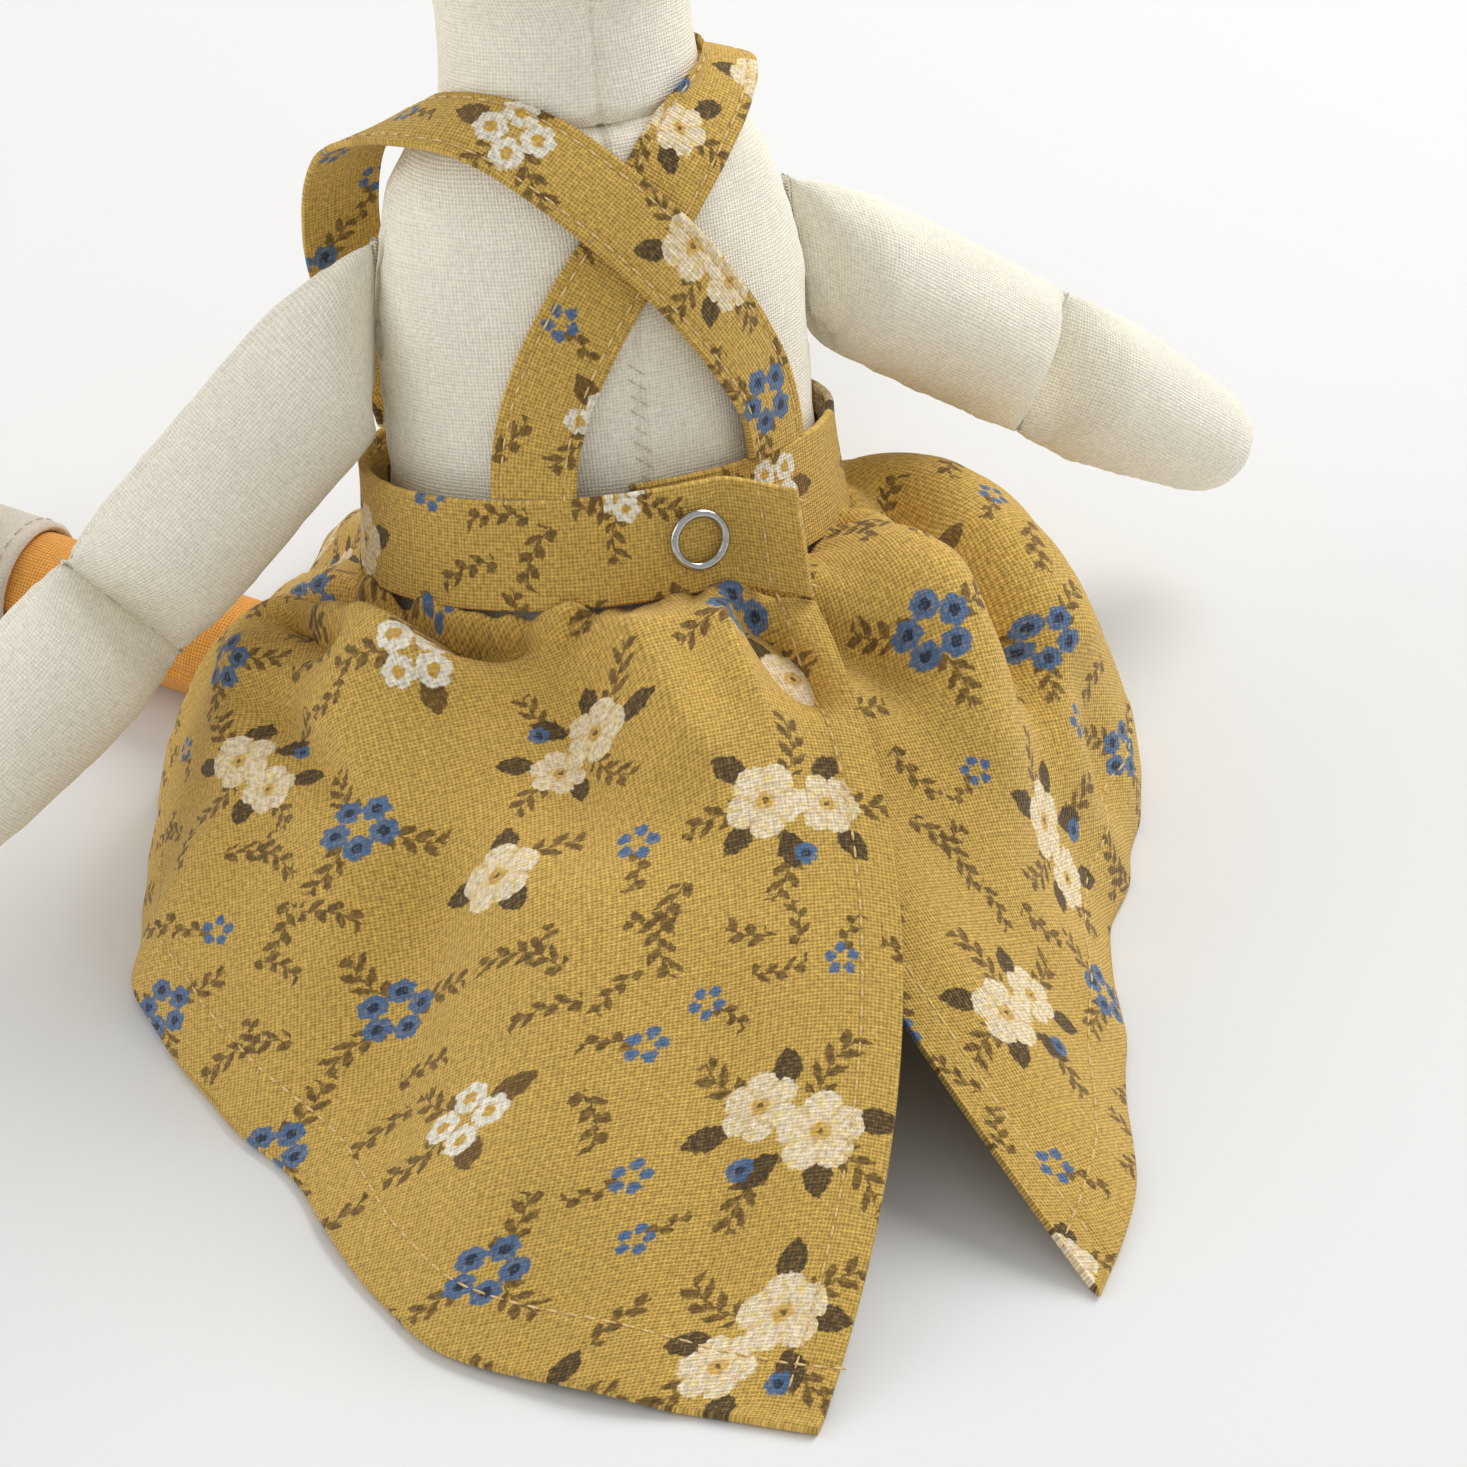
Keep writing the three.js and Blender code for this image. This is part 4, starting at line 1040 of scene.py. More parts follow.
def cloth_strip(
    name: str, middle: Array, normals: Array, outer: Array, inner: float, uv: Array,
) -> Piece:
    """Closed sheet of cloth with round long edges and flat ends.

    Args:
        name: Name of the piece.
        middle: Grid of the cloth's middle face, along by across by 3.
        normals: Outward unit normals of the grid.
        outer: Distances of the outer face from the middle.
        inner: Distance of the inner face from the middle.
        uv: Cloth place of each grid point.

    Returns:
        The sheet.
    """
    top = middle + normals * outer[..., None]
    under = middle - normals * inner
    half = 0.25 * (outer + inner)
    edges = [
        0.5 * (top[:, a] + under[:, a]) + unit(middle[:, a] - middle[:, b]) * half[:, a, None]
        for a, b in ((-1, -2), (0, 1))
    ]
    rings = np.concatenate([top, edges[0][:, None], under[:, ::-1], edges[1][:, None]], axis=1)
    flat = np.concatenate([uv, uv[:, -1:], uv[:, ::-1], uv[:, :1]], axis=1)
    return loft(name, rings, np.stack([flat, np.roll(flat, -1, axis=1)], axis=2), Cap.LADDER)


@dataclass
class Stitching:
    """Rows of sewing thread, each stitch a short capsule laid along its row by Geometry Nodes."""

    pitch: float = 2.7
    stitch: float = 2.1
    thickness: float = 0.42
    sides: int = 6
    rings: int = 4
    inputs: ClassVar[tuple[str, ...]] = ("Pitch", "Stitch", "Thickness")

    def build(self, name: str, rows: Sequence[Array], look: Look) -> Piece:
        """Lays stitches along rows of points.

        Args:
            name: Name of the piece.
            rows: Points of each row in millimetres.
            look: Finish of the thread.

        Returns:
            Plain mesh of all the stitches.
        """
        points = np.concatenate(rows) * MM
        starts = np.cumsum([0, *[len(row) for row in rows]])
        edges = [(i, i + 1) for a, b in zip(starts[:-1], starts[1:]) for i in range(a, b - 1)]
        path = bpy.data.meshes.new(f"{name}_path")
        path.from_pydata([tuple(p) for p in points], edges, [])
        carrier = add_object(f"{name}_carrier", path)
        modifier = carrier.modifiers.new("stitches", "NODES")
        modifier.node_group = self.tree(look.material)
        for socket in modifier.node_group.interface.items_tree:
            if socket.in_out == "INPUT" and socket.name in self.inputs:
                modifier[socket.identifier] = getattr(self, socket.name.lower()) * MM
        shown = carrier.evaluated_get(bpy.context.evaluated_depsgraph_get())
        mesh = bpy.data.meshes.new_from_object(shown)
        bpy.data.objects.remove(carrier)
        mesh.name = name
        return dress(add_object(name, mesh), look, ())

    def tree(self, material: bpy.types.Material) -> bpy.types.NodeTree:
        """Node tree that spaces stitches along the curves of a mesh of edges."""
        tree = bpy.data.node_groups.new("stitch_rows", "GeometryNodeTree")
        tree.interface.new_socket("Geometry", in_out="INPUT", socket_type="NodeSocketGeometry")
        for name in self.inputs:
            tree.interface.new_socket(name, in_out="INPUT", socket_type="NodeSocketFloat")
        tree.interface.new_socket("Geometry", in_out="OUTPUT", socket_type="NodeSocketGeometry")

        def node(kind: str, mode: str = "", **feeds: object) -> bpy.types.NodeSocket:
            """First output of a new node."""
            return add_node(tree, kind, feeds, **({"mode": mode} if mode else {})).outputs[0]

        given = add_node(tree, "NodeGroupInput", {}).outputs
        curve = node("GeometryNodeMeshToCurve", Mesh=given["Geometry"])
        spaced = node("GeometryNodeResampleCurve", "LENGTH", Curve=curve, Length=given["Pitch"])
        capsule = node("GeometryNodeMeshUVSphere", Segments=self.sides, Rings=self.rings, Radius=0.5)
        tangent = node("GeometryNodeInputTangent")
        align = add_node(tree, "FunctionNodeAlignRotationToVector", {"Vector": tangent}, axis="Z").outputs[0]
        size = node("ShaderNodeCombineXYZ", X=given["Thickness"], Y=given["Thickness"], Z=given["Stitch"])
        laid = node(
            "GeometryNodeInstanceOnPoints", Points=spaced, Instance=capsule, Rotation=align, Scale=size)
        real = node("GeometryNodeRealizeInstances", Geometry=laid)
        smooth = node("GeometryNodeSetShadeSmooth", Geometry=real)
        painted = node("GeometryNodeSetMaterial", Geometry=smooth, Material=material)
        add_node(tree, "NodeGroupOutput", {"Geometry": painted})
        return tree


# The duck


@dataclass
class DuckBody:
    """Torso and head: rows of height along the leaning axis, half width, half depth and forward shift."""

    waist_height: float = 58.0
    lean: float = math.radians(15)
    neck_seam: float = 60.0
    torso: Array = table(
        [-76, 20, 16, 0], [-66, 36, 30, 0], [-54, 40.5, 33, 0], [-34, 42, 34, 0], [-8, 34.5, 26.5, 0],
        [8, 33, 25.5, 0], [28, 33, 25, 0], [48, 29.5, 22, 0], [56, 25, 20, 0], [60, 20, 18.2, 0],
    )
    head: Array = table(
        [60, 20, 18.2, 0], [74, 18.8, 18, 0.5], [86, 21.5, 22.5, 2.5], [100, 25, 28, 5],
        [112, 25.5, 28.5, 5.5], [123, 21, 23.5, 4.5], [131, 12.5, 14, 3.5], [134.5, 2.5, 3, 3],
    )
    tuck: float = 0.9
    tuck_reach: float = 1.3
    floor: float = 0.15
    level_push: Pair = (57.0, 61.0)
    push_step: float = 0.1
    push_count: int = 120
    closing: Pair = (6.0, 27.0)
    closing_pitch: float = 2.4
    closing_slant: Pair = (1.3, 0.6)
    closing_sink: float = 0.25

    def section(self, height: Array) -> tuple[Array, Array, Array]:
        """Half width, half depth and forward shift at heights."""
        height = np.asarray(height, float)
        low = through(self.torso, height)
        high = through(self.head, height)
        return tuple(np.moveaxis(np.where((height <= self.neck_seam)[..., None], low, high), -1, 0))

    def off(self, angle: Array, height: Array, distance: Array) -> Array:
        """Points off the body by an angle in degrees from the back, a height and a distance."""
        width, depth, shift = self.section(height)
        a = np.radians(angle)
        x = (width + distance) * np.sin(a)
        return np.stack(np.broadcast_arrays(x, (depth + distance) * np.cos(a) - shift, height), axis=-1)

    def world(self, points: Array) -> Array:
        """Points of the leaning frame in the part's frame."""
        return points @ turn("x", self.lean).T + np.array([0, 0, self.waist_height])

    def local(self, points: Array) -> Array:
        """Points of the part's frame in the leaning frame."""
        return (points - np.array([0, 0, self.waist_height])) @ turn("x", self.lean)

    def clear(self, points: Array, direction: Array, distance: float) -> Array:
        """Points moved until they clear the body: along a direction, turning level at the neck."""
        width, depth, shift = self.section(points[..., 2])
        level = unit(np.stack([
            points[..., 0] / width**2, (points[..., 1] + shift) / depth**2, np.zeros_like(width)], axis=-1))
        push = unit(direction + (level - direction) * smoothstep(points[..., 2], *self.level_push)[..., None])
        moved = points.copy()
        for _ in range(self.push_count):
            width, depth, shift = self.section(moved[..., 2])
            share = np.hypot(moved[..., 0] / (width + distance), (moved[..., 1] + shift) / (depth + distance))
            moved += self.push_step * push * (share < 1)[..., None]
        return moved

    def rings(self, heights: Array, angles: Array, draw_in: Array) -> Array:
        """Rings of the body in the part's frame, drawn in at the seams of its ends."""
        plain = self.off(angles[None, :], heights[:, None], -draw_in[:, None])
        made = self.world(plain)
        made[..., 2] = np.maximum(made[..., 2], self.floor)
        return made

    def build(self) -> None:
        """Builds torso, head and the hand-sewn closing of the back seam."""
        low, high = self.torso[0, 0], self.neck_seam
        heights = fine_steps(low, high, step=1.7, marks=(high,), reach=4, fine=0.4)
        angles = fine_steps(-90, 270, step=2.6, marks=(-90, 0, 90, 270), reach=6, fine=0.75)[:-1]
        spot = [int(np.argmin(abs(angles - a))) for a in (-90, 0, 90, 180)]
        draw_in = self.tuck * mound(high - heights, self.tuck_reach)
        skin = StuffedSkin(
            seams=tuple(spot[:3]), panels=((0, spot[2], spot[1]), (spot[2], len(angles), spot[3])),
            pucker=0.34, waver=0.5, seed=3)
        torso = skin.build("torso", self.rings(heights, angles, draw_in))
        dress(torso, Look.LINEN, ("torso_front", "torso_back_left", "torso_back_right", "torso_stuffing"))
        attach(torso, "body")
        self.build_head()
        self.build_closing()

    def build_head(self) -> None:
        """Builds the head and neck of two side panels."""
        low, high = self.neck_seam, self.head[-1, 0]
        heights = fine_steps(low, high, step=1.5, marks=(low, high), reach=4, fine=0.4)
        angles = fine_steps(0, 360, step=2.8, marks=(0, 180, 360), reach=7, fine=0.9)[:-1]
        spot = [int(np.argmin(abs(angles - a))) for a in (0, 90, 180, 270)]
        draw_in = self.tuck * mound(heights - low, self.tuck_reach)
        skin = StuffedSkin(
            seams=(0, spot[2]), panels=((0, spot[2], spot[1]), (spot[2], len(angles), spot[3])), seed=9)
        head = skin.build("head", self.rings(heights, angles, draw_in))
        dress(head, Look.LINEN, ("head_left", "head_right", "head_stuffing"))
        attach(head, "body")

    def build_closing(self) -> None:
        """Sews the slanted stitches that close the back seam after filling."""
        rows = []
        ends = np.array([-1.0, 1.0])
        aside, up = self.closing_slant
        for height in np.arange(*self.closing, self.closing_pitch):
            sewn = self.off(aside * ends, height + up * ends, np.full(2, -self.closing_sink))
            rows.append(self.world(sewn))
        thread = Stitching(pitch=1.9, stitch=1.7, thickness=0.3).build(
            "back_closing_stitches", rows, Look.IVORY_THREAD)
        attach(thread, "body")


@dataclass
class Face:
    """Stuffed beak of two halves and two bead eyes."""

    body: DuckBody
    beak_height: float = 102.0
    beak_root: float = 22.0
    beak_tip: float = 57.0
    widths: Array = table([0, 12], [0.45, 11.5], [0.72, 12.5], [0.9, 9.5], [1, 1.2])
    upper: Array = table([0, 9.5], [0.45, 7.5], [0.72, 5.2], [0.9, 3.8], [1, 0.7])
    lower: Array = table([0, 6.5], [0.45, 5], [0.72, 3.8], [0.9, 2.8], [1, 0.6])
    lower_share: float = 0.92
    mouth_gap: float = 0.15
    mouth_bulge: float = 0.04
    bill_rings: int = 40
    tip_crowding: float = 1.6
    eye_diameter: float = 5.4
    eye_bulge: float = 0.62
    eye_rings: int = 24
    eye_sides: int = 32
    eye_pole: float = 0.02
    eye_height: float = 110.0
    eye_angle: float = 128.0

    def build(self) -> None:
        """Builds the beak and the eyes."""
        for name, rows, share, sign in (
            ("beak_upper", self.upper, 1.0, 1),
            ("beak_lower", self.lower, self.lower_share, -1),
        ):
            self.build_bill(name, rows, share, sign)
        for side in Side:
            self.build_eye(side)

    def build_bill(self, name: str, rows: Array, share: float, sign: int) -> None:
        """Builds one half of the beak.

        Args:
            name: Name of the piece and of its solid.
            rows: Heights along the half.
            share: Size against the upper half.
            sign: 1 for the upper half, -1 for the lower.
        """
        along = 1 - (1 - np.linspace(0, 1, self.bill_rings)) ** self.tip_crowding
        angles = fine_steps(0, 360, step=9, marks=(0, 180, 360), reach=12, fine=3)[:-1]
        width = through(self.widths, along) * share
        height = through(rows, along)
        a = np.radians(angles)
        dome = np.where(np.sin(a) > 0, np.sin(a), self.mouth_bulge * np.sin(a))
        rings = np.stack(np.broadcast_arrays(
            width * np.cos(a)[None, :],
            -(self.beak_root + (self.beak_tip - self.beak_root) * share * along)[:, None],
            self.beak_height + sign * (self.mouth_gap + height * dome[None, :]),
        ), axis=-1)
        middle = int(np.argmin(abs(angles - 180)))
        quarter = int(np.argmin(abs(angles - 90)))
        skin = StuffedSkin(
            seams=(0, middle), panels=((0, middle, quarter), (middle, len(angles), 3 * middle // 2)),
            groove=0.3, lump=0.15, pucker=0.15, seed=21 + sign)
        bill = skin.build(f"{name}_skin", self.body.world(rings))
        dress(bill, Look.LEG, (name,))
        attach(bill, "body")

    def build_eye(self, side: Side) -> None:
        """Builds one domed bead, seated on the head."""
        width, depth, shift = (float(v) for v in self.body.section(np.array(self.eye_height)))
        place = self.body.off(np.array(side.value * self.eye_angle), np.array(self.eye_height), np.array(0.0))
        out = unit(np.array([place[0] / width**2, (place[1] + shift) / depth**2, 0.0]))
        up = np.array([0, 0, 1.0])
        aside = unit(np.cross(up, out))
        profile = np.linspace(self.eye_pole, math.pi - self.eye_pole, self.eye_rings)[:, None, None]
        a = np.linspace(0, 2 * math.pi, self.eye_sides, endpoint=False)[:, None]
        ring = np.cos(a) * aside + np.sin(a) * up
        dome = np.sin(profile) * ring + self.eye_bulge * np.cos(profile) * out
        rings = place + self.eye_diameter / 2 * dome
        eye = plain_loft(f"{side.word}_eye_bead", self.body.world(rings))
        dress(eye, Look.EYE, (f"{side.word}_eye",))
        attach(eye, "body")


@dataclass
class Limb:
    """Sewn tube along X, its seam edges on Z and its thickness on Y."""

    length: float
    wedge: float
    end_span: float
    root_half: float
    half_width: float
    half_thick: float
    droop: float = 0.0
    taper: float = 0.0
    rounded: bool = False
    flat_below: bool = False
    edge: float = 0.5
    gather: float = 0.3
    gather_reach: float = 7.0
    gather_girth: float = 64.0
    gather_scale: float = 16.0
    gather_seed: int = 5
    tip_rings: int = 26
    least: float = 1e-3

    def stations(self) -> Array:
        """Distances from the root, finer at both ends."""
        steps = fine_steps(0, self.length, step=1.6, marks=(0.0, self.length), reach=6, fine=0.6)
        if self.rounded:
            quarter = np.linspace(0, 1, self.tip_rings) * math.pi / 2
            tip = self.length - self.end_span * (1 - np.sin(quarter))
            before = steps[steps < self.length - self.end_span]
            steps = np.concatenate([before, tip[:-1], [self.length - self.least]])
        return steps

    def rings(self, angles: Array) -> Array:
        """Rings of the limb in its own frame.

        Args:
            angles: Places round the section in radians, 0 on a seam.

        Returns:
            Points, stations by angles by 3.
        """
        s = self.stations()
        swell = np.sin(math.pi / 2 * np.clip(s / self.wedge, 0, 1))
        to_end = np.clip((self.length - s) / self.end_span, 0, 1)
        end = np.sqrt(np.maximum(1 - (1 - to_end) ** 2, 0)) if self.rounded else np.sin(math.pi / 2 * to_end)
        thin = 1 - self.taper * smoothstep(s, self.wedge, self.length)
        full = (self.edge + (self.half_thick - self.edge) * swell) * thin
        thick = full * end if self.rounded else self.edge + (full - self.edge) * end
        width = self.root_half + (self.half_width - self.root_half) * smoothstep(s, 0, 1.5 * self.wedge)
        width = width * thin * end if self.rounded else width
        tilt = self.droop * smoothstep(s, 0, 1.3 * self.wedge)
        lift = full - self.edge if self.flat_below else np.zeros_like(s)
        near = np.exp(-s / self.gather_reach)
        if not self.rounded:
            near += np.exp(-(self.length - s) / self.gather_reach)
        girth = angles / (2 * math.pi) * self.gather_girth
        ripple = self.gather * wander(girth, self.gather_scale, self.gather_seed)
        ripple = ripple[None, :] * near[:, None] * swell[:, None]
        across = (np.maximum(width, self.least)[:, None] + ripple) * np.cos(angles)
        away = (np.maximum(thick, self.least)[:, None] + ripple) * np.sin(angles)
        return np.stack([
            (s * math.cos(self.droop))[:, None] + across * np.sin(tilt)[:, None],
            lift[:, None] + away,
            (-s * math.sin(self.droop))[:, None] + across * np.cos(tilt)[:, None],
        ], axis=-1)

    @staticmethod
    def angles() -> Array:
        """Places round the section, finer at the two seams."""
        return np.radians(fine_steps(0, 360, step=5, marks=(0, 180, 360), reach=12, fine=2.4)[:-1])

    def skin(self, name: str, place: Array, spin: Array, seed: int) -> Piece:
        """Builds the limb's skin.

        Args:
            name: Name of the piece.
            place: Root of the limb in the part's frame.
            spin: Matrix from the limb's frame to the part's.
            seed: Choice of puckers.

        Returns:
            The skin.
        """
        angles = self.angles()
        half, whole = len(angles) // 2, len(angles)
        made = StuffedSkin(
            seams=(0, half), panels=((0, half, half // 2), (half, whole, half + half // 2)), seed=seed)
        return made.build(name, self.rings(angles) @ spin.T + place)


def joint_place(name: str) -> Array:
    """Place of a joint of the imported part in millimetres."""
    return np.array(next(j["pos_m"] for j in frame["joints"] if j["name"] == name)) / MM


@dataclass
class Arm:
    """Arm sewn into the side seam of the torso, with a stitched elbow."""

    body: DuckBody
    side: Side
    droop: float
    swing: float
    height: float = 32.0
    root_half: float = 12.0
    half_width: float = 12.4
    half_thick: float = 11.6
    upper_length: float = 57.0
    fore_length: float = 52.0
    root_wedge: float = 13.0
    elbow_wedge: float = 12.0
    hand_round: float = 11.0
    hand_taper: float = 0.3
    elbow_lap: float = 0.9
    seed: int = 31

    def build(self) -> None:
        """Builds the upper arm and the forearm."""
        word = self.side.word
        low, high = self.body.section(self.height + self.root_half * np.array([-1, 1]))[0]
        slope = math.atan2(low - high, 2 * self.root_half)
        heading = self.swing if self.side is Side.LEFT else math.pi + self.swing
        spin = turn("x", self.body.lean) @ turn("y", -self.side.value * slope) @ turn("z", heading)
        upper = Limb(
            self.upper_length + self.elbow_lap, self.root_wedge, self.elbow_wedge, self.root_half,
            self.half_width, self.half_thick, droop=self.droop + slope)
        fore = Limb(
            self.fore_length, self.elbow_wedge, self.hand_round, self.half_width, self.half_width,
            self.half_thick, taper=self.hand_taper, rounded=True)
        for part, limb, place, frame_of in (
            ("upper_arm", upper, joint_place(f"{word}_shoulder"), spin),
            ("forearm", fore, joint_place(f"{word}_elbow"), spin @ turn("y", upper.droop)),
        ):
            name = f"{word}_{part}"
            piece = limb.skin(name, place, frame_of, seed=self.seed + len(name))
            dress(piece, Look.LINEN, tuple(f"{name}_{half}" for half in ("front", "back", "stuffing")))
            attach(piece, name)


LEG_SPLAY = {Side.LEFT: math.radians(45), Side.RIGHT: math.radians(11)}


def leg_direction(side: Side) -> Array:
    """Level direction that a leg lies in."""
    return np.array([side.value * math.sin(LEG_SPLAY[side]), -math.cos(LEG_SPLAY[side]), 0.0])


@dataclass
class Leg:
    """Splayed leg sewn into the bottom seam, in a felt boot with its toe up."""

    side: Side
    length: float = 102.0
    half_width: float = 9.4
    half_thick: float = 9.0
    wedge: float = 18.0
    foot_round: float = 7.5
    boot_wall: float = 1.5
    boot_gap: float = 0.3
    boot_top: float = 75.0
    boot_depth: float = 16.0
    sole_at: float = 113.0
    sole: float = 3.0
    foot_half_length: float = 16.0
    foot_half_width: float = 11.8
    foot_rise: float = 6.0
    shaft_length: float = 14.0
    ankle_back: float = 17.0
    ankle_share: float = 0.2
    instep_back: float = 11.0
    instep_share: float = 0.72
    welt_back: float = 5.0
    welt: float = 0.9
    rim: float = 0.7
    top_stitch: float = 2.6
    sole_stitch: float = 2.4
    thread_rise: float = 0.02
    boot_sides: int = 72
    seed: int = 41

    def build(self) -> None:
        """Builds the leg, the boot, its sole and its stitches."""
        name = f"{self.side.word}_leg"
        limb = Limb(
            self.length, self.wedge, self.foot_round, self.half_width, self.half_width, self.half_thick,
            rounded=True, flat_below=True)
        ahead = leg_direction(self.side)
        spin = turn("z", math.atan2(ahead[1], ahead[0])) @ turn("x", math.pi / 2)
        place = joint_place(f"{self.side.word}_hip")
        piece = limb.skin(name, place, spin, self.seed)
        dress(piece, Look.LEG, tuple(f"{name}_{half}" for half in ("under", "top", "stuffing")))
        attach(piece, name)
        self.build_boot(limb, place, spin)

    def oval(self, *rows: Array | float) -> Array:
        """Oval rings across the leg in its own frame.

        Args:
            rows: Distance along the leg, height of the middle, half height and half width of each ring.

        Returns:
            Points, rings by sides by 3.
        """
        a = np.linspace(0, 2 * math.pi, self.boot_sides, endpoint=False)
        s, middle, height, width = (row[:, None] for row in np.broadcast_arrays(*rows))
        return np.stack(np.broadcast_arrays(s, middle + height * np.sin(a), width * np.cos(a)), axis=-1)

    def build_boot(self, limb: Limb, place: Array, spin: Array) -> None:
        """Builds the boot over the end of the leg.

        Args:
            limb: The leg.
            place: Root of the leg.
            spin: Matrix from the leg's frame to the part's.
        """
        axis = limb.half_thick - limb.edge
        shaft, wide = (r + self.boot_wall + self.boot_gap for r in (limb.half_thick, limb.half_width))
        long, broad = self.foot_half_length, self.foot_half_width
        foot = axis - shaft + long
        ankle, instep = self.ankle_share * self.foot_rise, self.instep_share * (foot - axis)
        rows = np.array([
            [self.boot_top, axis, shaft, wide],
            [self.boot_top + self.shaft_length, axis, shaft, wide],
            [self.sole_at - self.ankle_back, axis + ankle, shaft + ankle, wide],
            [self.sole_at - self.instep_back, axis + instep, shaft + instep, broad],
            [self.sole_at - self.welt_back, foot, long, broad],
            [self.sole_at, foot, long - self.welt, broad - self.welt],
        ])
        rim_end = self.boot_top + self.rim
        s = np.linspace(rim_end, self.sole_at, 70)
        outer = self.oval(s, *through(rows, s).T)
        depth = np.linspace(self.boot_top + self.boot_depth, rim_end, 24)
        inner = self.oval(depth, axis, shaft - self.boot_wall, wide - self.boot_wall)
        rim_at = rim_end - self.rim * np.sin(np.linspace(0, math.pi, 7))[1:-1]
        rim_out = np.linspace(-self.boot_wall, 0, 7)[1:-1]
        rim = self.oval(rim_at, axis, shaft + rim_out, wide + rim_out)
        rings = np.concatenate([inner, rim, outer]) @ spin.T + place
        boot = plain_loft(f"{self.side.word}_boot_felt", rings)
        layers = self.sole * np.array([0, 0.03, 0.12, 0.4, 0.7, 0.9, 0.98, 1])
        inset = np.array([0.9, 0.5, 0.2, 0, 0, 0.3, 0.8, 1.6])
        rings = self.oval(self.sole_at + self.boot_gap + layers, foot, long - inset, broad - inset)
        sole = plain_loft(f"{self.side.word}_sole_felt", rings @ spin.T + place)
        for piece, look, node in ((boot, Look.FELT, "boot"), (sole, Look.SOLE, "boot_sole")):
            dress(piece, look, (f"{self.side.word}_{node}",))
            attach(piece, f"{self.side.word}_leg")
        self.build_boot_stitches(rows, place, spin)

    def build_boot_stitches(self, rows: Array, place: Array, spin: Array) -> None:
        """Sews a row round the top of the boot and one round the sole edge."""
        lines = []
        for s in (self.boot_top + self.top_stitch, self.sole_at - self.sole_stitch):
            middle, height, width = through(rows, np.array([s])).T
            ring = self.oval(s, middle, height + self.thread_rise, width + self.thread_rise)[0]
            lines.append(np.concatenate([ring, ring[:1]]) @ spin.T + place)
        word = self.side.word
        thread = Stitching(pitch=3.0, stitch=2.2, thickness=0.5).build(
            f"{word}_boot_stitches", lines, Look.FELT_THREAD)
        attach(thread, f"{word}_leg")


@dataclass(frozen=True)
class FoldedTape:
    """Folded cloth, pressed in and puckered by a row of top-stitching along both edges."""

    width: float
    cloth: float
    stitch_in: float
    step: float
    crown: float
    press: float
    pucker: float
    pucker_scale: float
    pucker_reach: float
    seed: int
    press_width: float = 0.5
    thread_rise: float = 0.08

    def lines(self) -> Pair:
        """Places of the two stitch rows across the tape."""
        edge = self.width / 2 - self.stitch_in
        return -edge, edge

    def across(self) -> Array:
        """Places across the tape, finer at the stitch rows."""
        half = self.width / 2
        return fine_steps(-half, half, self.step, self.lines(), reach=1.2, fine=0.3)

    def build(
        self, name: str, middle: Array, normals: Array, run: Array,
    ) -> tuple[Piece, list[Array]]:
        """Builds the tape.

        Args:
            name: Name of the solid that the tape stands for.
            middle: Grid of the tape's middle face, along by across by 3.
            normals: Outward unit normals of the grid.
            run: Length along the tape at each row of the grid.

        Returns:
            The tape and its two rows of stitches.
        """
        across, lines = self.across(), self.lines()
        press = sum(mound(across - line, self.press_width) for line in lines)
        ripple = sum(np.exp(-abs(across - line) / self.pucker_reach) for line in lines)
        ripple = wander(run, self.pucker_scale, self.seed)[:, None] * ripple
        crown = self.crown * (1 - (2 * across / self.width) ** 2)
        outer = self.cloth / 2 + crown - self.press * press + self.pucker * ripple
        uv = np.stack(np.broadcast_arrays(run[:, None], across), axis=-1)
        piece = cloth_strip(f"{name}_cloth", middle, normals, outer, self.cloth / 2, uv)
        proud = middle + normals * (outer + self.thread_rise)[..., None]
        return piece, [proud[:, int(np.argmin(abs(across - line)))] for line in lines]


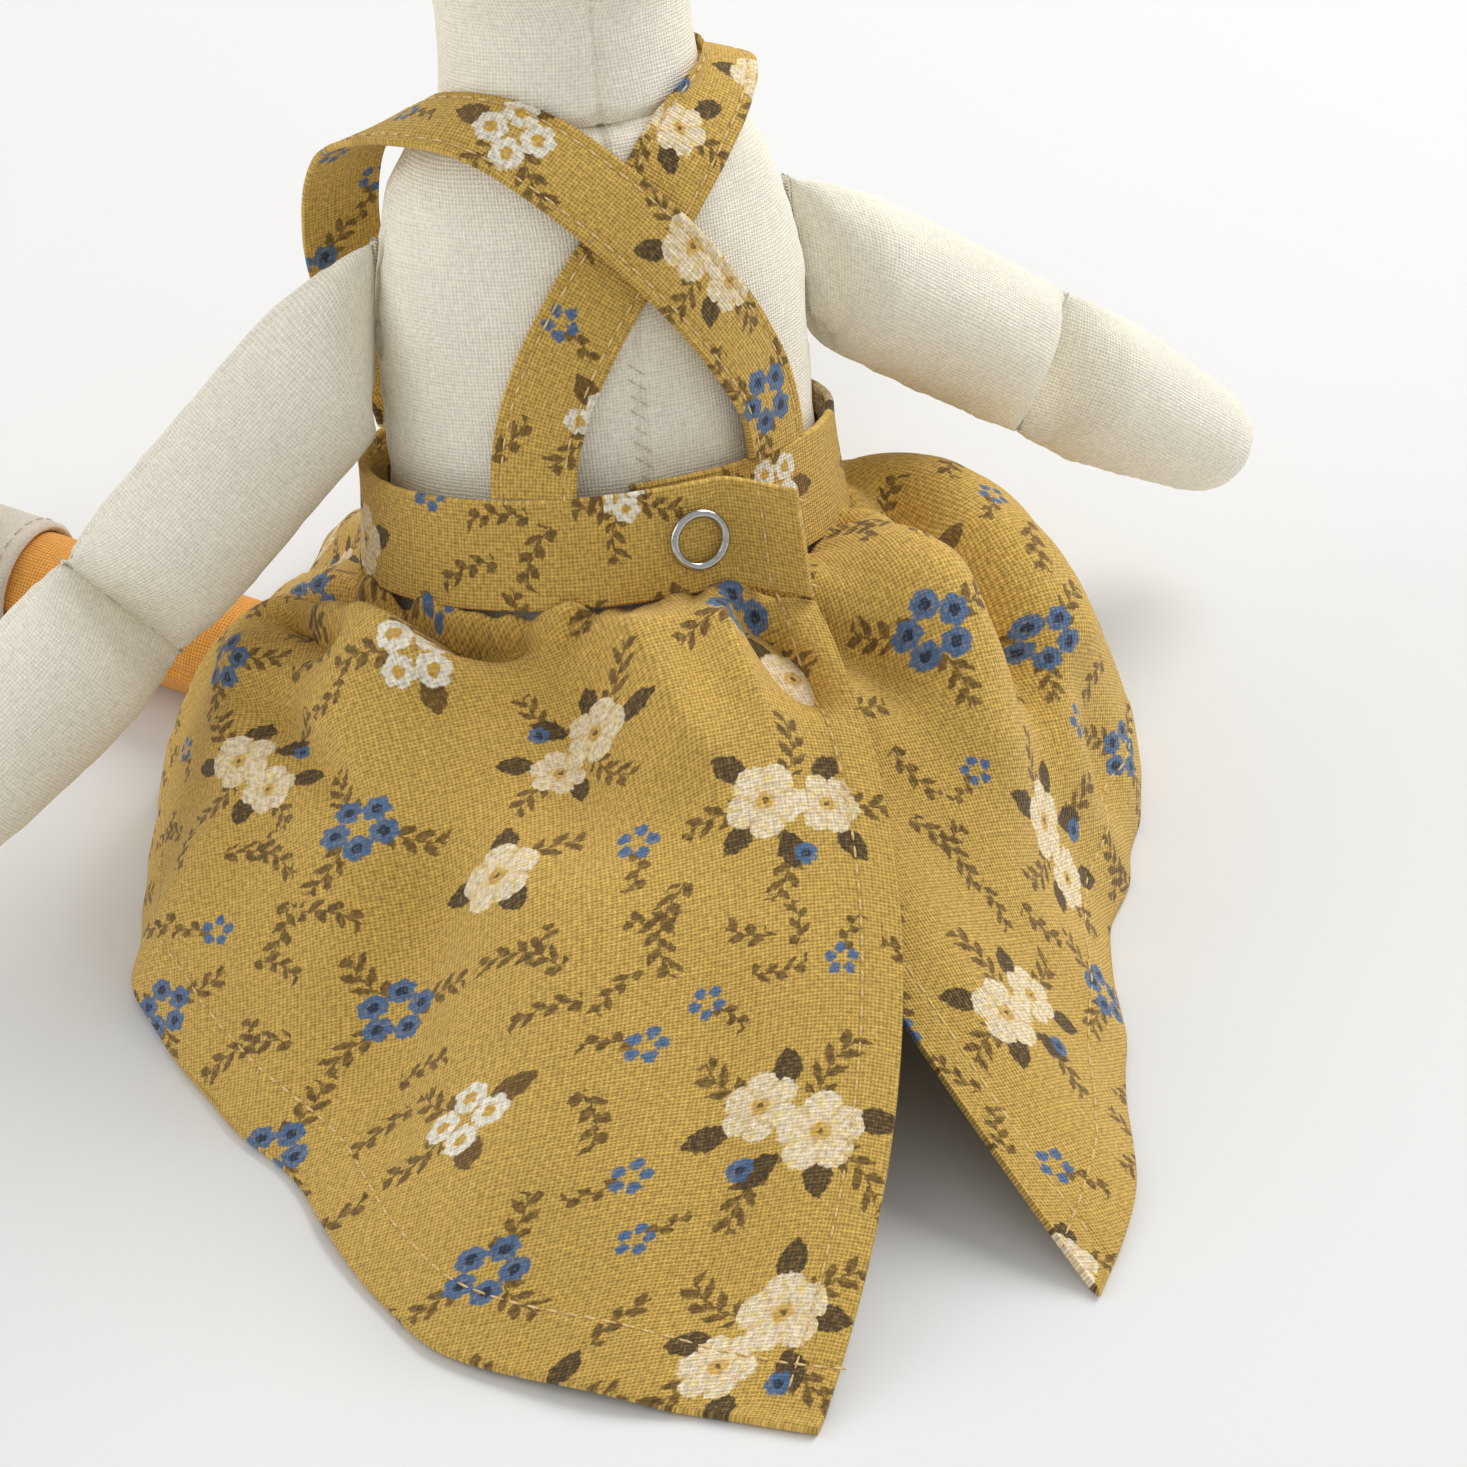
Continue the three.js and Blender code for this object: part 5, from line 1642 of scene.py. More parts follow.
@dataclass
class Waistband:
    """Band wound outward from the underlap to a tab, lapped at the back and closed by the snap.

    Angles run in degrees from the back towards the duck's left.
    """

    body: DuckBody
    layout: PrintLayout
    height: float = 16.5
    cloth: float = 1.2
    inner: float = 1.2
    outer: float = 4.4
    underlap_end: float = 365.0
    tab_root: float = 12.0
    tab_end: float = -26.5
    flare_from: float = -13.5
    tab_flare: float = 7.5
    tab_droop: float = 2.5
    bend_to: float = 5.0
    snap_angle: float = -8.0
    stitch_in: float = 1.6
    end_stitch: float = 2.7
    end_rise: float = 0.1
    crown: float = 0.55
    bolt_place: Pair = (20.0, 275.0)
    bolt_slide: float = 1.4

    def tape(self) -> FoldedTape:
        """Folded cloth of the band."""
        return FoldedTape(
            self.height, self.cloth, self.stitch_in, step=1.1, crown=self.crown, press=0.28, pucker=0.22,
            pucker_scale=7.0, pucker_reach=2.5, seed=17)

    def past_snap(self, angle: Array) -> Array:
        """Share of the way from the snap to the free end of the tab."""
        return np.maximum((self.flare_from - angle) / (self.flare_from - self.tab_end), 0)

    def offset(self, angle: Array) -> Array:
        """Stand-off of the band's inner face from the torso."""
        turned = (angle - self.tab_root) / (self.underlap_end - self.tab_root)
        return self.outer + (self.inner - self.outer) * turned + self.tab_flare * self.past_snap(angle) ** 2.2

    def level(self, angle: Array) -> Array:
        """Middle height of the band, which sags at the free end."""
        return -self.tab_droop * np.minimum(self.past_snap(angle), 1) ** 1.5

    def bend(self) -> tuple[Vector, Vector]:
        """Where the tab starts to turn with its joint, and where it has turned fully."""
        angles = np.array([self.tab_root, self.bend_to])
        start, end = self.body.world(self.body.off(angles, np.zeros(2), np.full(2, self.outer)))
        return Vector(start * MM), Vector(end * MM)

    def strip(self, name: str, angles: Array) -> tuple[Piece, list[Array]]:
        """Builds a stretch of the band.

        Args:
            name: Name of the solid that the stretch stands for.
            angles: Steps along the stretch.

        Returns:
            The stretch and its two rows of stitches.
        """
        tape = self.tape()
        a, h = np.meshgrid(angles, tape.across(), indexing="ij")
        middle = self.body.world(self.body.off(a, h + self.level(a), self.offset(a) + self.cloth / 2))
        run = run_along(middle[:, middle.shape[1] // 2])
        return tape.build(name, middle, -grid_normals(middle, False), run)

    def build(self) -> None:
        """Builds the band, the tab and their top-stitching."""
        for name, first, last in (
            ("waistband", self.tab_root, self.underlap_end),
            ("waistband_tab", self.tab_end, self.tab_root),
        ):
            angles = fine_steps(first, last, step=1.8, marks=(first, last), reach=4, fine=0.8)
            piece, rows = self.strip(name, angles)
            self.layout.mark(piece.data, (self.bolt_place[0] + self.bolt_slide * first, self.bolt_place[1]))
            dress(piece, Look.PRINT, (name,))
            if name == "waistband_tab":
                rows.append(self.end_row())
            thread = Stitching().build(f"{name}_stitches", rows, Look.TAN_THREAD)
            for part in (piece, thread):
                if name == "waistband":
                    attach(part, "body")
                else:
                    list(self.bend())
                    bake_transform(part)

    def end_row(self) -> Array:
        """Stitch row across the free end of the tab."""
        radius = float(self.body.section(np.array(0.0))[1]) + self.outer
        angle = self.tab_end + math.degrees(self.end_stitch / radius)
        h = np.linspace(*self.tape().lines(), 12)
        a = np.full_like(h, angle)
        out = self.offset(a) + self.cloth + self.crown * (1 - (2 * h / self.height) ** 2) + self.end_rise
        return self.body.world(self.body.off(a, h + self.level(a), out))


@dataclass
class RingSnap:
    """Open-ring snap through the lapped band: ring and socket in the tab, stud and back ring below it."""

    band: Waistband
    ring: float = 9.5
    wire: float = 1.4
    socket: float = 8.4
    bore: float = 5.4
    socket_depth: float = 1.1
    stud: float = 4.4
    stud_bore: float = 0.6
    stud_depth: float = 1.3
    back_ring: float = 7.4
    back_depth: float = 0.5
    gap: float = 0.3
    sides: int = 64
    wire_steps: int = 24
    edge_steps: int = 28
    edge_power: float = 0.45

    def turned(self, name: str, profile: Array, stand_off: float, body: str) -> None:
        """Builds a turned piece on the snap's axis.

        Args:
            name: Name of the piece and of its solid.
            profile: Closed outline of radius and distance along the axis.
            stand_off: Distance of the piece's foot from the torso.
            body: Body that carries the piece.
        """
        band, duck = self.band, self.band.body
        angle, pair = np.array(band.snap_angle), np.array([-1.0, 1.0])
        low, high = duck.off(angle, pair * band.height / 2, np.array(stand_off))
        left, right = duck.off(angle - pair, np.zeros(2), band.offset(angle))
        up, aside = unit(high - low), unit(right - left)
        out = unit(np.cross(aside, up))
        out *= math.copysign(1.0, out[1])
        a = np.linspace(0, 2 * math.pi, self.sides, endpoint=False)
        ring = np.cos(a)[:, None] * aside + np.sin(a)[:, None] * up
        middle = 0.5 * (low + high)
        rings = middle + profile[None, :, :1] * ring[:, None] + profile[None, :, 1:] * out
        piece = self.hoop(f"{name}_steel", duck.world(rings))
        dress(piece, Look.STEEL, (name,))
        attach(piece, body)

    @staticmethod
    def hoop(name: str, rings: Array) -> Piece:
        """Mesh that closes round the axis and round its outline."""
        count, size = rings.shape[:2]
        here = np.arange(count * size).reshape(count, size)
        ahead = np.roll(here, -1, axis=0)
        faces = np.stack([here, np.roll(here, -1, axis=1), np.roll(ahead, -1, axis=1), ahead], axis=-1)
        mesh = bpy.data.meshes.new(name)
        mesh.from_pydata([tuple(p) for p in rings.reshape(-1, 3) * MM], [], faces.reshape(-1, 4).tolist())
        mesh.shade_smooth()
        return add_object(name, mesh)

    def tube(self, outer: float, bore: float, depth: float) -> Array:
        """Outline of a washer with round edges."""
        a = np.linspace(0, 2 * math.pi, self.edge_steps, endpoint=False)
        thick = (outer - bore) / 4
        c, s = (np.sign(f(a)) * abs(f(a)) ** self.edge_power for f in (np.cos, np.sin))
        return np.stack([(outer + bore) / 4 + thick * c, depth / 2 * (1 + s)], axis=1)

    def build(self) -> None:
        """Builds the four pieces, from the body outward."""
        a = np.linspace(0, 2 * math.pi, self.wire_steps, endpoint=False)
        wire = self.wire / 2
        ring = np.stack([self.ring / 2 - wire + wire * np.cos(a), wire * (1 + np.sin(a))], axis=1)
        tab = float(self.band.offset(np.array(self.band.snap_angle)))
        under = float(self.band.offset(np.array(self.band.snap_angle + 360)))
        cloth = self.band.cloth
        back = self.tube(self.back_ring, self.stud, self.back_depth)
        stud = self.tube(self.stud, self.stud_bore, self.stud_depth)
        socket = self.tube(self.socket, self.bore, self.socket_depth)
        self.turned("snap_back_ring", back, under - self.back_depth - self.gap, "body")
        self.turned("snap_stud", stud, under + cloth + self.gap, "body")
        self.turned("snap_socket", socket, tab - self.socket_depth - self.gap, "waistband_tab")
        self.turned("snap_ring", ring, tab + cloth + self.gap, "waistband_tab")


@dataclass
class Strap:
    """Flat strap: rows of angle, height, stand-off, facing angle and facing rise along its path."""

    name: str
    body: DuckBody
    layout: PrintLayout
    rows: Array
    bolt_place: Pair
    flat_length: float
    width: float = 12.5
    cloth: float = 1.1
    gap: float = 0.3
    band_top: float = 8.45
    stitch_in: float = 1.5
    steps: int = 190

    def build(self) -> None:
        """Builds the strap and its two rows of top-stitching."""
        angle, height, off, turned, rise = self.rows.T
        path = self.body.off(angle, height, off)
        t, lift = np.radians(turned), np.radians(rise)
        facing = np.stack([np.sin(t) * np.cos(lift), np.cos(t) * np.cos(lift), np.sin(lift)], axis=1)
        share = np.linspace(0, 1, 4 * self.steps)
        above = share[glide(path, share)[:, 2] > self.band_top]
        share = np.linspace(above[0], above[-1], self.steps)
        middle = glide(path, share)
        tangent = unit(np.gradient(middle, axis=0))
        normal = glide(facing, share)
        normal = unit(normal - tangent * np.einsum("ij,ij->i", normal, tangent)[:, None])
        aside = np.cross(tangent, normal)
        tape = FoldedTape(
            self.width, self.cloth, self.stitch_in, step=1.0, crown=0.2, press=0.25, pucker=0.12,
            pucker_scale=9.0, pucker_reach=2.0, seed=13)
        flat = middle[:, None] + tape.across()[None, :, None] * aside[:, None]
        normals = np.broadcast_to(normal[:, None], flat.shape)
        laid = self.body.clear(flat, normals, self.gap + self.cloth / 2)
        laid[..., 2] = np.maximum(laid[..., 2], self.band_top)
        leaning = normals @ turn("x", self.body.lean).T
        piece, rows = tape.build(self.name, self.body.world(laid), leaning, run_along(middle))
        self.layout.mark(piece.data, self.bolt_place)
        dress(piece, Look.PRINT, (self.name,))
        thread = Stitching().build(f"{self.name}_stitches", rows, Look.TAN_THREAD)
        for part in (piece, thread):
            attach(part, "body")
        self.width * MM


@dataclass(frozen=True)
class Fold:
    """Fold along a line of places round and down the skirt, with its height and half width in millimetres."""

    height: float
    width: float
    line: tuple[Pair, ...]
    blunt: float = 2.0
    fade: float = 0.3

    def shape(self, t: Array, s: Array, round_scale: Array, down_scale: Array) -> Array:
        """Height of the fold over the cloth.

        Args:
            t: Places round the cloth.
            s: Shares of the way down.
            round_scale: Millimetres per unit round the cloth.
            down_scale: Millimetres per unit down it.

        Returns:
            Heights, which fade towards both ends of the line.
        """
        nearest, share = np.full(t.shape, np.inf), np.zeros(t.shape)
        for number, (start, end) in enumerate(zip(self.line[:-1], self.line[1:])):
            ax, ay = (start[0] - t) * round_scale, (start[1] - s) * down_scale
            bx, by = (end[0] - start[0]) * round_scale, (end[1] - start[1]) * down_scale
            u = np.clip(-(ax * bx + ay * by) / (bx**2 + by**2), 0, 1)
            away = np.hypot(ax + u * bx, ay + u * by)
            share = np.where(away < nearest, (number + u) / (len(self.line) - 1), share)
            nearest = np.minimum(nearest, away)
        ends = smoothstep(share, 0, self.fade) * (1 - smoothstep(share, 1 - self.fade, 1))
        return self.height * ends * np.exp(-((nearest / self.width) ** self.blunt))


@dataclass(frozen=True)
class Panel:
    """Skirt panel between two places round the cloth; an open edge is hemmed, the others are seams."""

    name: str
    first: float
    last: float
    opens_first: bool
    opens_last: bool
    columns: int
    bolt_place: Pair
    flat: Pair
    area: float


@dataclass
class Skirt:
    """Gathered skirt, open down the back, of three panels.

    Rows of the hem hold a polar angle, distance and height. Rows of the bulge hold an angle, two lifts
    and two pushes. Rows of the sway hold an angle and a shift round the body.
    """

    body: DuckBody
    band: Waistband
    layout: PrintLayout
    cloth: float = 1.0
    waist_gap: float = 0.1
    hem_start: float = 5.0
    hem_sweep: float = 341.0
    hem: Array = table(
        [5, 148, 0.7], [16.6, 137, 0.7], [26, 131, 0.7], [30.5, 124, 0.7], [41, 106, 0.7], [57, 96, 0.7],
        [74.5, 84, 0.7], [92, 75, 0.7], [106, 70, 2.5], [126, 55, 24], [147, 66, 10], [180, 88, 5],
        [208, 88, 22], [232, 73, 5], [252, 74, 2], [268, 84, 0.7], [300, 84, 0.7], [318, 91, 0.7],
        [330, 104, 0.7], [340, 126, 0.7], [346, 138, 0.7],
    )
    bulge: Array = table(
        [5, 4, 4, 0, 0], [45, 8, 8, 2, 2], [75, 15, 17, 4, 6], [98, 15, 16, 8, 6], [128, 0, 1, -4, 0],
        [180, 6, 6, 0, 0], [232, 8, 6, 0, 0], [262, 20, 20, 2, 6], [300, 22, 25, 6, 11],
        [325, 12, 14, 3, 4], [346, 2, 2, 0, 0],
    )
    sway: Array = table([5, 17], [30, 5], [60, 0], [290, 0], [346, -4])
    folds: tuple[Fold, ...] = (
        Fold(-7.3, 4.0, ((0.28, 0.09), (0.23, 0.06), (0.19, 0.05), (0.16, 0.06), (0.13, 0.09))),
        Fold(-7.0, 7.0, ((0.42, 0.17), (0.36, 0.14), (0.31, 0.115), (0.27, 0.1), (0.22, 0.08))),
        Fold(-5.2, 4.0, ((0.135, -0.08), (0.15, 0.02), (0.16, 0.07), (0.168, 0.13), (0.174, 0.2))),
        Fold(6.5, 5.0, ((0.31, 0.2), (0.25, 0.165), (0.2, 0.16), (0.165, 0.175), (0.12, 0.21)), blunt=1.5),
        Fold(-6.8, 4.2, ((0.205, 0.2), (0.23, 0.23), (0.255, 0.27), (0.29, 0.36)), blunt=1.5),
        Fold(3.4, 8.0, (
            (0.085, -0.12), (0.07, 0.02), (0.05, 0.1), (0.038, 0.18), (0.03, 0.26), (0.02, 0.42)), blunt=3.0),
        Fold(5.6, 5.0, (
            (0.13, -0.1), (0.103, 0.013), (0.085, 0.058), (0.075, 0.092), (0.062, 0.158), (0.052, 0.217),
            (0.042, 0.275), (0.03, 0.4)), blunt=1.3),
        Fold(3.2, 3.6, (
            (0.06, -0.06), (0.047, 0.029), (0.038, 0.083), (0.032, 0.154), (0.02, 0.24)), blunt=1.3),
        Fold(-5.2, 8.0, (
            (0.155, -0.1), (0.14, 0.03), (0.115, 0.11), (0.096, 0.2), (0.08, 0.3), (0.06, 0.5))),
        Fold(-6.5, 4.0, ((0.034, -0.08), (0.024, 0.03), (0.016, 0.09), (0.004, 0.2))),
        Fold(-4.2, 4.4, (
            (0.25, 0.52), (0.227, 0.49), (0.19, 0.462), (0.168, 0.458), (0.15, 0.475), (0.13, 0.52))),
        Fold(4.2, 11.0, ((0.205, 0.14), (0.19, 0.242), (0.158, 0.4), (0.136, 0.546), (0.12, 0.8))),
        Fold(-2.6, 10.0, ((0.24, 0.2), (0.225, 0.3), (0.2, 0.44), (0.182, 0.6), (0.168, 0.8))),
        Fold(3.4, 8.0, ((0.28, 0.34), (0.25, 0.42), (0.22, 0.54), (0.2, 0.7))),
        Fold(-3.4, 9.0, ((0.12, 0.42), (0.105, 0.6), (0.095, 0.78), (0.09, 0.98))),
        Fold(3.9, 16.0, ((0.08, 0.3), (0.07, 0.5), (0.06, 0.75), (0.05, 1.0))),
        Fold(-3.1, 8.0, ((0.03, 0.45), (0.03, 0.66), (0.024, 0.82), (0.02, 1.0))),
        Fold(-9.8, 5.2, (
            (0.73, -0.06), (0.77, 0.1), (0.835, 0.24), (0.857, 0.375), (0.875, 0.483), (0.887, 0.604),
            (0.9, 0.76))),
        Fold(6.8, 9.0, ((0.79, 0.02), (0.87, 0.25), (0.895, 0.38), (0.912, 0.5), (0.925, 0.62), (0.94, 0.8))),
        Fold(3.4, 9.0, (
            (0.7, 0.05), (0.76, 0.25), (0.8, 0.38), (0.835, 0.52), (0.855, 0.667), (0.875, 0.82))),
        Fold(-4.4, 5.0, ((0.96, -0.05), (0.94, 0.18), (0.927, 0.3), (0.925, 0.5))),
        Fold(-3.1, 7.0, ((0.85, 0.62), (0.865, 0.78), (0.88, 0.98))),
        Fold(3.0, 7.0, ((0.4, -0.1), (0.41, 0.3), (0.44, 0.95))),
        Fold(-3.0, 7.0, ((0.46, -0.1), (0.46, 0.4), (0.465, 1.1))),
        Fold(3.2, 7.0, ((0.53, -0.1), (0.53, 0.4), (0.53, 1.1))),
        Fold(-3.0, 7.0, ((0.6, -0.1), (0.6, 0.4), (0.59, 1.1))),
        Fold(2.6, 6.0, ((0.66, -0.1), (0.66, 0.3), (0.65, 0.8))),
        Fold(-3.0, 5.0, ((0.35, -0.1), (0.36, 0.2), (0.38, 0.6))),
    )
    leg_half_width: float = 9.4
    leg_top: float = 19.9
    leg_clearance: float = 2.0
    leg_lap: float = 1.5
    floor: float = 0.7
    torso_gap: float = 0.5
    fold_start: Pair = (-0.01, 0.07)
    gather: float = 2.1
    gather_pitch: float = 5.4
    gather_reach: float = 0.07
    gather_seed: int = 23
    waist_radius: float = 40.0
    slack: float = 1.5
    slack_scale: float = 0.13
    slack_seed: int = 5
    slack_rise: Pair = (0.2, 0.7)
    hem_depth: float = 9.4
    hem_stitch: float = 8.8
    placket_depth: float = 6.6
    placket_stitch: float = 6.0
    placket_stop: int = 6
    fold_over: float = 0.35
    turn_ease: Pair = (0.7, 0.3)
    press: float = 0.28
    press_width: float = 0.45
    pucker: float = 0.16
    pucker_girth: float = 800.0
    pucker_scale: float = 9.0
    pucker_reach: float = 3.0
    pucker_seed: int = 29
    thread_rise: float = 0.08
    seam_tuck: float = 0.7
    seam_width: float = 0.9
    grain_radius: float = 80.0
    lift_from: Pair = (0.09, 0.1)
    probe: float = 0.004
    line_steps: int = 41
    upper_rows: int = 84
    hem_rows: tuple[float, ...] = (
        12, 11, 10.2, 9.8, 9.4, 9.1, 8.8, 8.5, 8.2, 7.6, 6.6, 5.4, 4.2, 3, 1.8, 0.8, 0)
    edge_columns: tuple[float, ...] = (0, 0.8, 1.8, 3, 4.2, 5, 5.4, 5.7, 6, 6.3, 6.6, 7, 7.8, 9)
    no_edge: float = 99.0
    panels: tuple[Panel, ...] = (
        Panel("skirt_back_left", 0.0, 0.3, True, False, 150, (10.0, 250.0), (0.17, 0.14), 0.0165),
        Panel("skirt_front", 0.3, 0.72, False, False, 170, (380.0, 220.0), (0.2, 0.09), 0.011),
        Panel("skirt_back_right", 0.72, 1.0, False, True, 130, (720.0, 240.0), (0.15, 0.13), 0.0135),
    )

    def base(self, t: Array, s: Array) -> Array:
        """Skirt without folds, at places round the cloth and shares of the way down."""
        band = self.band
        angle = band.tab_end + (band.underlap_end - band.tab_end) * t
        drop = band.height / 2 + self.waist_gap + self.cloth / 2
        stand_off = band.offset(angle) + band.cloth / 2
        waist = self.body.world(self.body.off(angle, band.level(angle) - drop, stand_off))
        hem_angle = self.hem_start + self.hem_sweep * t
        reach, level = np.moveaxis(through(self.hem, hem_angle), -1, 0)
        a = np.radians(hem_angle)
        out = np.stack([np.sin(a), np.cos(a), np.zeros_like(a)], axis=-1)
        hem = out * reach[..., None]
        hem[..., 2] = level
        lift_a, lift_b, push_a, push_b = np.moveaxis(through(self.bulge, hem_angle), -1, 0)
        aside = np.stack([-out[..., 1], out[..., 0], np.zeros_like(a)], axis=-1)
        aside = aside * through(self.sway, hem_angle)
        up = np.array([0, 0, 1.0])
        first = waist + (hem - waist) / 3 + out * push_a[..., None] + aside + up * lift_a[..., None]
        second = waist + (hem - waist) * 2 / 3 + out * push_b[..., None] + aside + up * lift_b[..., None]
        u = s[..., None]
        return waist * (1 - u) ** 3 + 3 * first * u * (1 - u) ** 2 + 3 * second * u**2 * (1 - u) + hem * u**3

    def slopes(self, t: Array, s: Array) -> tuple[Array, Array]:
        """Change of the plain skirt per unit round the cloth and per unit down it."""
        step = self.probe
        low, high = np.maximum(t - step, 0), np.minimum(t + step, 1)
        along = (self.base(high, s) - self.base(low, s)) / (high - low)[..., None]
        low, high = np.maximum(s - step, 0), np.minimum(s + step, 1)
        down = (self.base(t, high) - self.base(t, low)) / (high - low)[..., None]
        return along, down

    def over_legs(self, points: Array) -> Array:
        """Height that the cloth keeps where it lies over a leg."""
        top = self.leg_top + self.leg_clearance + self.cloth / 2
        width = self.leg_lap * self.leg_half_width
        level = np.zeros(points.shape[:-1])
        for side in Side:
            ahead = leg_direction(side)
            away = points - joint_place(f"{side.word}_hip")
            across = abs(away[..., 0] * ahead[1] - away[..., 1] * ahead[0])
            lap = away[..., 1] < 2 * self.leg_half_width
            level = np.maximum(level, lap * top * np.exp(-((across / width) ** 4)))
        return level

    def surface(self, t: Array, s: Array) -> Array:
        """Middle face of the skirt with its folds, gathers and slack, off the legs and the floor."""
        along, down = self.slopes(t, s)
        normal = unit(np.cross(along, down))
        scales = np.linalg.norm(along, axis=-1), np.linalg.norm(down, axis=-1)
        depth = sum(fold.shape(t, s, *scales) for fold in self.folds) * smoothstep(s, *self.fold_start)
        wound = self.band.underlap_end - self.band.tab_end
        waist = t * wound / 360 * 2 * math.pi * self.waist_radius
        gathers = wander(waist, 4 * self.gather_pitch, self.gather_seed)
        depth += self.gather * gathers * np.exp(-s / self.gather_reach)
        slack = self.slack * wander(t, self.slack_scale, self.slack_seed)
        depth += slack * smoothstep(s, *self.slack_rise)
        plain = self.body.local(self.base(t, s) + normal * depth[..., None])
        clear = self.body.clear(plain, normal @ turn("x", self.body.lean), self.torso_gap + self.cloth / 2)
        points = self.body.world(clear)
        points[..., 2] = np.maximum(points[..., 2], np.maximum(self.over_legs(points), self.floor))
        return points

    def places(self, panel: Panel) -> tuple[Array, Array, Array, Array]:
        """Grid over a panel, with columns set out from an open edge and rows set out from the hem.

        Args:
            panel: Panel to cover.

        Returns:
            Places round the cloth, shares of the way down, distances to the open edge and to the hem.
        """
        hem_rows, columns = np.array(self.hem_rows), np.array(self.edge_columns)
        upper = np.linspace(0, 1, self.upper_rows)[:-1]
        down = np.concatenate([upper, np.ones(len(hem_rows))])
        if panel.opens_first or panel.opens_last:
            edge = 1.0 if panel.opens_last else 0.0
            places = edge, abs(edge - self.probe)
            here, beside = (self.base(np.full_like(down, place), down) for place in places)
            per_place = np.linalg.norm(beside - here, axis=-1) / self.probe
            inside = np.linspace(0, 1, panel.columns - len(columns) + 1)[1:]
            near_t = columns[:, None] / per_place[None]
            width = panel.last - panel.first
            far_t = near_t[-1] + (width - near_t[-1]) * inside[:, None]
            t = np.concatenate([near_t, far_t])
            t = panel.last - t[::-1] if panel.opens_last else panel.first + t
            to_edge = abs(t - edge) * per_place
        else:
            t = np.tile(np.linspace(panel.first, panel.last, panel.columns)[:, None], len(down))
            to_edge = np.full(t.shape, self.no_edge)
        line = self.base(*np.broadcast_arrays(t[:, -1:], np.linspace(0, 1, self.line_steps)))
        length = np.linalg.norm(np.diff(line, axis=1), axis=2).sum(axis=1)[:, None]
        s = np.concatenate([upper * (1 - hem_rows[0] / length), 1 - hem_rows / length], axis=1)
        return t, s, to_edge, (1 - s) * length

    def grain(self, plain: Array, reference: int) -> Array:
        """Cloth places of a grid, as on a flared cut whose grain runs along one column."""
        down = np.linalg.norm(np.diff(plain, axis=1), axis=2)
        v = np.concatenate([np.zeros((len(plain), 1)), np.cumsum(down, axis=1)], axis=1)
        radius = self.grain_radius + v
        step = np.linalg.norm(np.diff(plain, axis=0), axis=2) / (0.5 * (radius[1:] + radius[:-1]))
        phi = np.concatenate([np.zeros((1, plain.shape[1])), np.cumsum(step, axis=0)])
        phi = phi - phi[reference]
        return np.stack([radius * np.sin(phi), -radius * np.cos(phi)], axis=-1)

    def build_panel(self, panel: Panel) -> None:
        """Builds a panel and its stitches.

        Args:
            panel: Panel to build.
        """
        t, s, to_edge, to_hem = self.places(panel)
        middle = self.surface(t, s)
        normals = -grid_normals(middle, False)
        outer = self.outer(t, to_edge, to_hem)
        for opens, column in ((panel.opens_first, 0), (panel.opens_last, -1)):
            if not opens:
                away = np.linalg.norm(middle - middle[column], axis=2)
                middle = middle - normals * (self.seam_tuck * mound(away, self.seam_width))[..., None]
        reference = 0 if panel.opens_first else -1 if panel.opens_last else len(t) // 2
        uv = self.grain(self.base(t, s), reference)
        piece = cloth_strip(f"{panel.name}_cloth", middle, normals, outer, self.cloth / 2, uv)
        self.layout.mark(piece.data, panel.bolt_place)
        dress(piece, Look.PRINT, (panel.name,))
        proud = middle + normals * (outer + self.thread_rise)[..., None]
        rows = [proud[:, int(np.argmin(abs(to_hem[0] - self.hem_stitch)))]]
        if panel.opens_first or panel.opens_last:
            column = int(np.argmin(abs(to_edge[:, 0] - self.placket_stitch)))
            rows.append(proud[column, :-self.placket_stop])
        thread = Stitching().build(f"{panel.name}_stitches", rows, Look.TAN_THREAD)
        for part in (piece, thread):
            if panel.opens_first:
                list(self.lift())
                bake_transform(part)
            else:
                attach(part, "body")

    def outer(self, t: Array, to_edge: Array, to_hem: Array) -> Array:
        """Distance of the outer face from the middle: turned up at the hems, pressed in by their stitches.

        Args:
            t: Places round the cloth.
            to_edge: Distances to the open edge.
            to_hem: Distances to the hem.

        Returns:
            Distances, of the same shape.
        """
        from_hem, from_placket = to_hem - self.hem_stitch, to_edge - self.placket_stitch
        double = 1 - self.turned_up(to_hem, self.hem_depth)
        double = 1 - double * (1 - self.turned_up(to_edge, self.placket_depth))
        press = mound(from_hem, self.press_width) + mound(from_placket, self.press_width)
        outer = self.cloth / 2 + self.fold_over * double - self.press * np.minimum(press, 1)
        ripple = wander(t * self.pucker_girth, self.pucker_scale, self.pucker_seed)
        return outer + self.pucker * ripple * np.exp(-abs(from_hem) / self.pucker_reach)

    def turned_up(self, distance: Array, depth: float) -> Array:
        """1 where the cloth is turned up double at an edge, else 0."""
        inside, outside = self.turn_ease
        return 1 - smoothstep(distance, depth - inside, depth + outside)

    def lift(self) -> tuple[Vector, Vector]:
        """Line along which the lapped corner starts to follow the tab, and where it follows fully."""
        places = np.array([self.lift_from, (0.0, 0.0)])
        start, end = self.base(*places.T)
        return Vector(start * MM), Vector(end * MM)

    def build(self) -> None:
        """Builds the three panels."""
        for panel in self.panels:
            self.build_panel(panel)


@dataclass(frozen=True)
class Lamp:
    """Square soft light that looks at the object, with its power in watts, side and place in metres."""

    name: str
    power: float
    size: float
    place: Place

    def build(self) -> None:
        """Adds the light."""
        light = bpy.data.lights.new(self.name, "AREA")
        light.energy = self.power
        light.size = self.size
        made = add_object(self.name, light)
        made.location = self.place
        made.rotation_euler = (-Vector(self.place)).to_track_quat("-Z", "Y").to_euler()


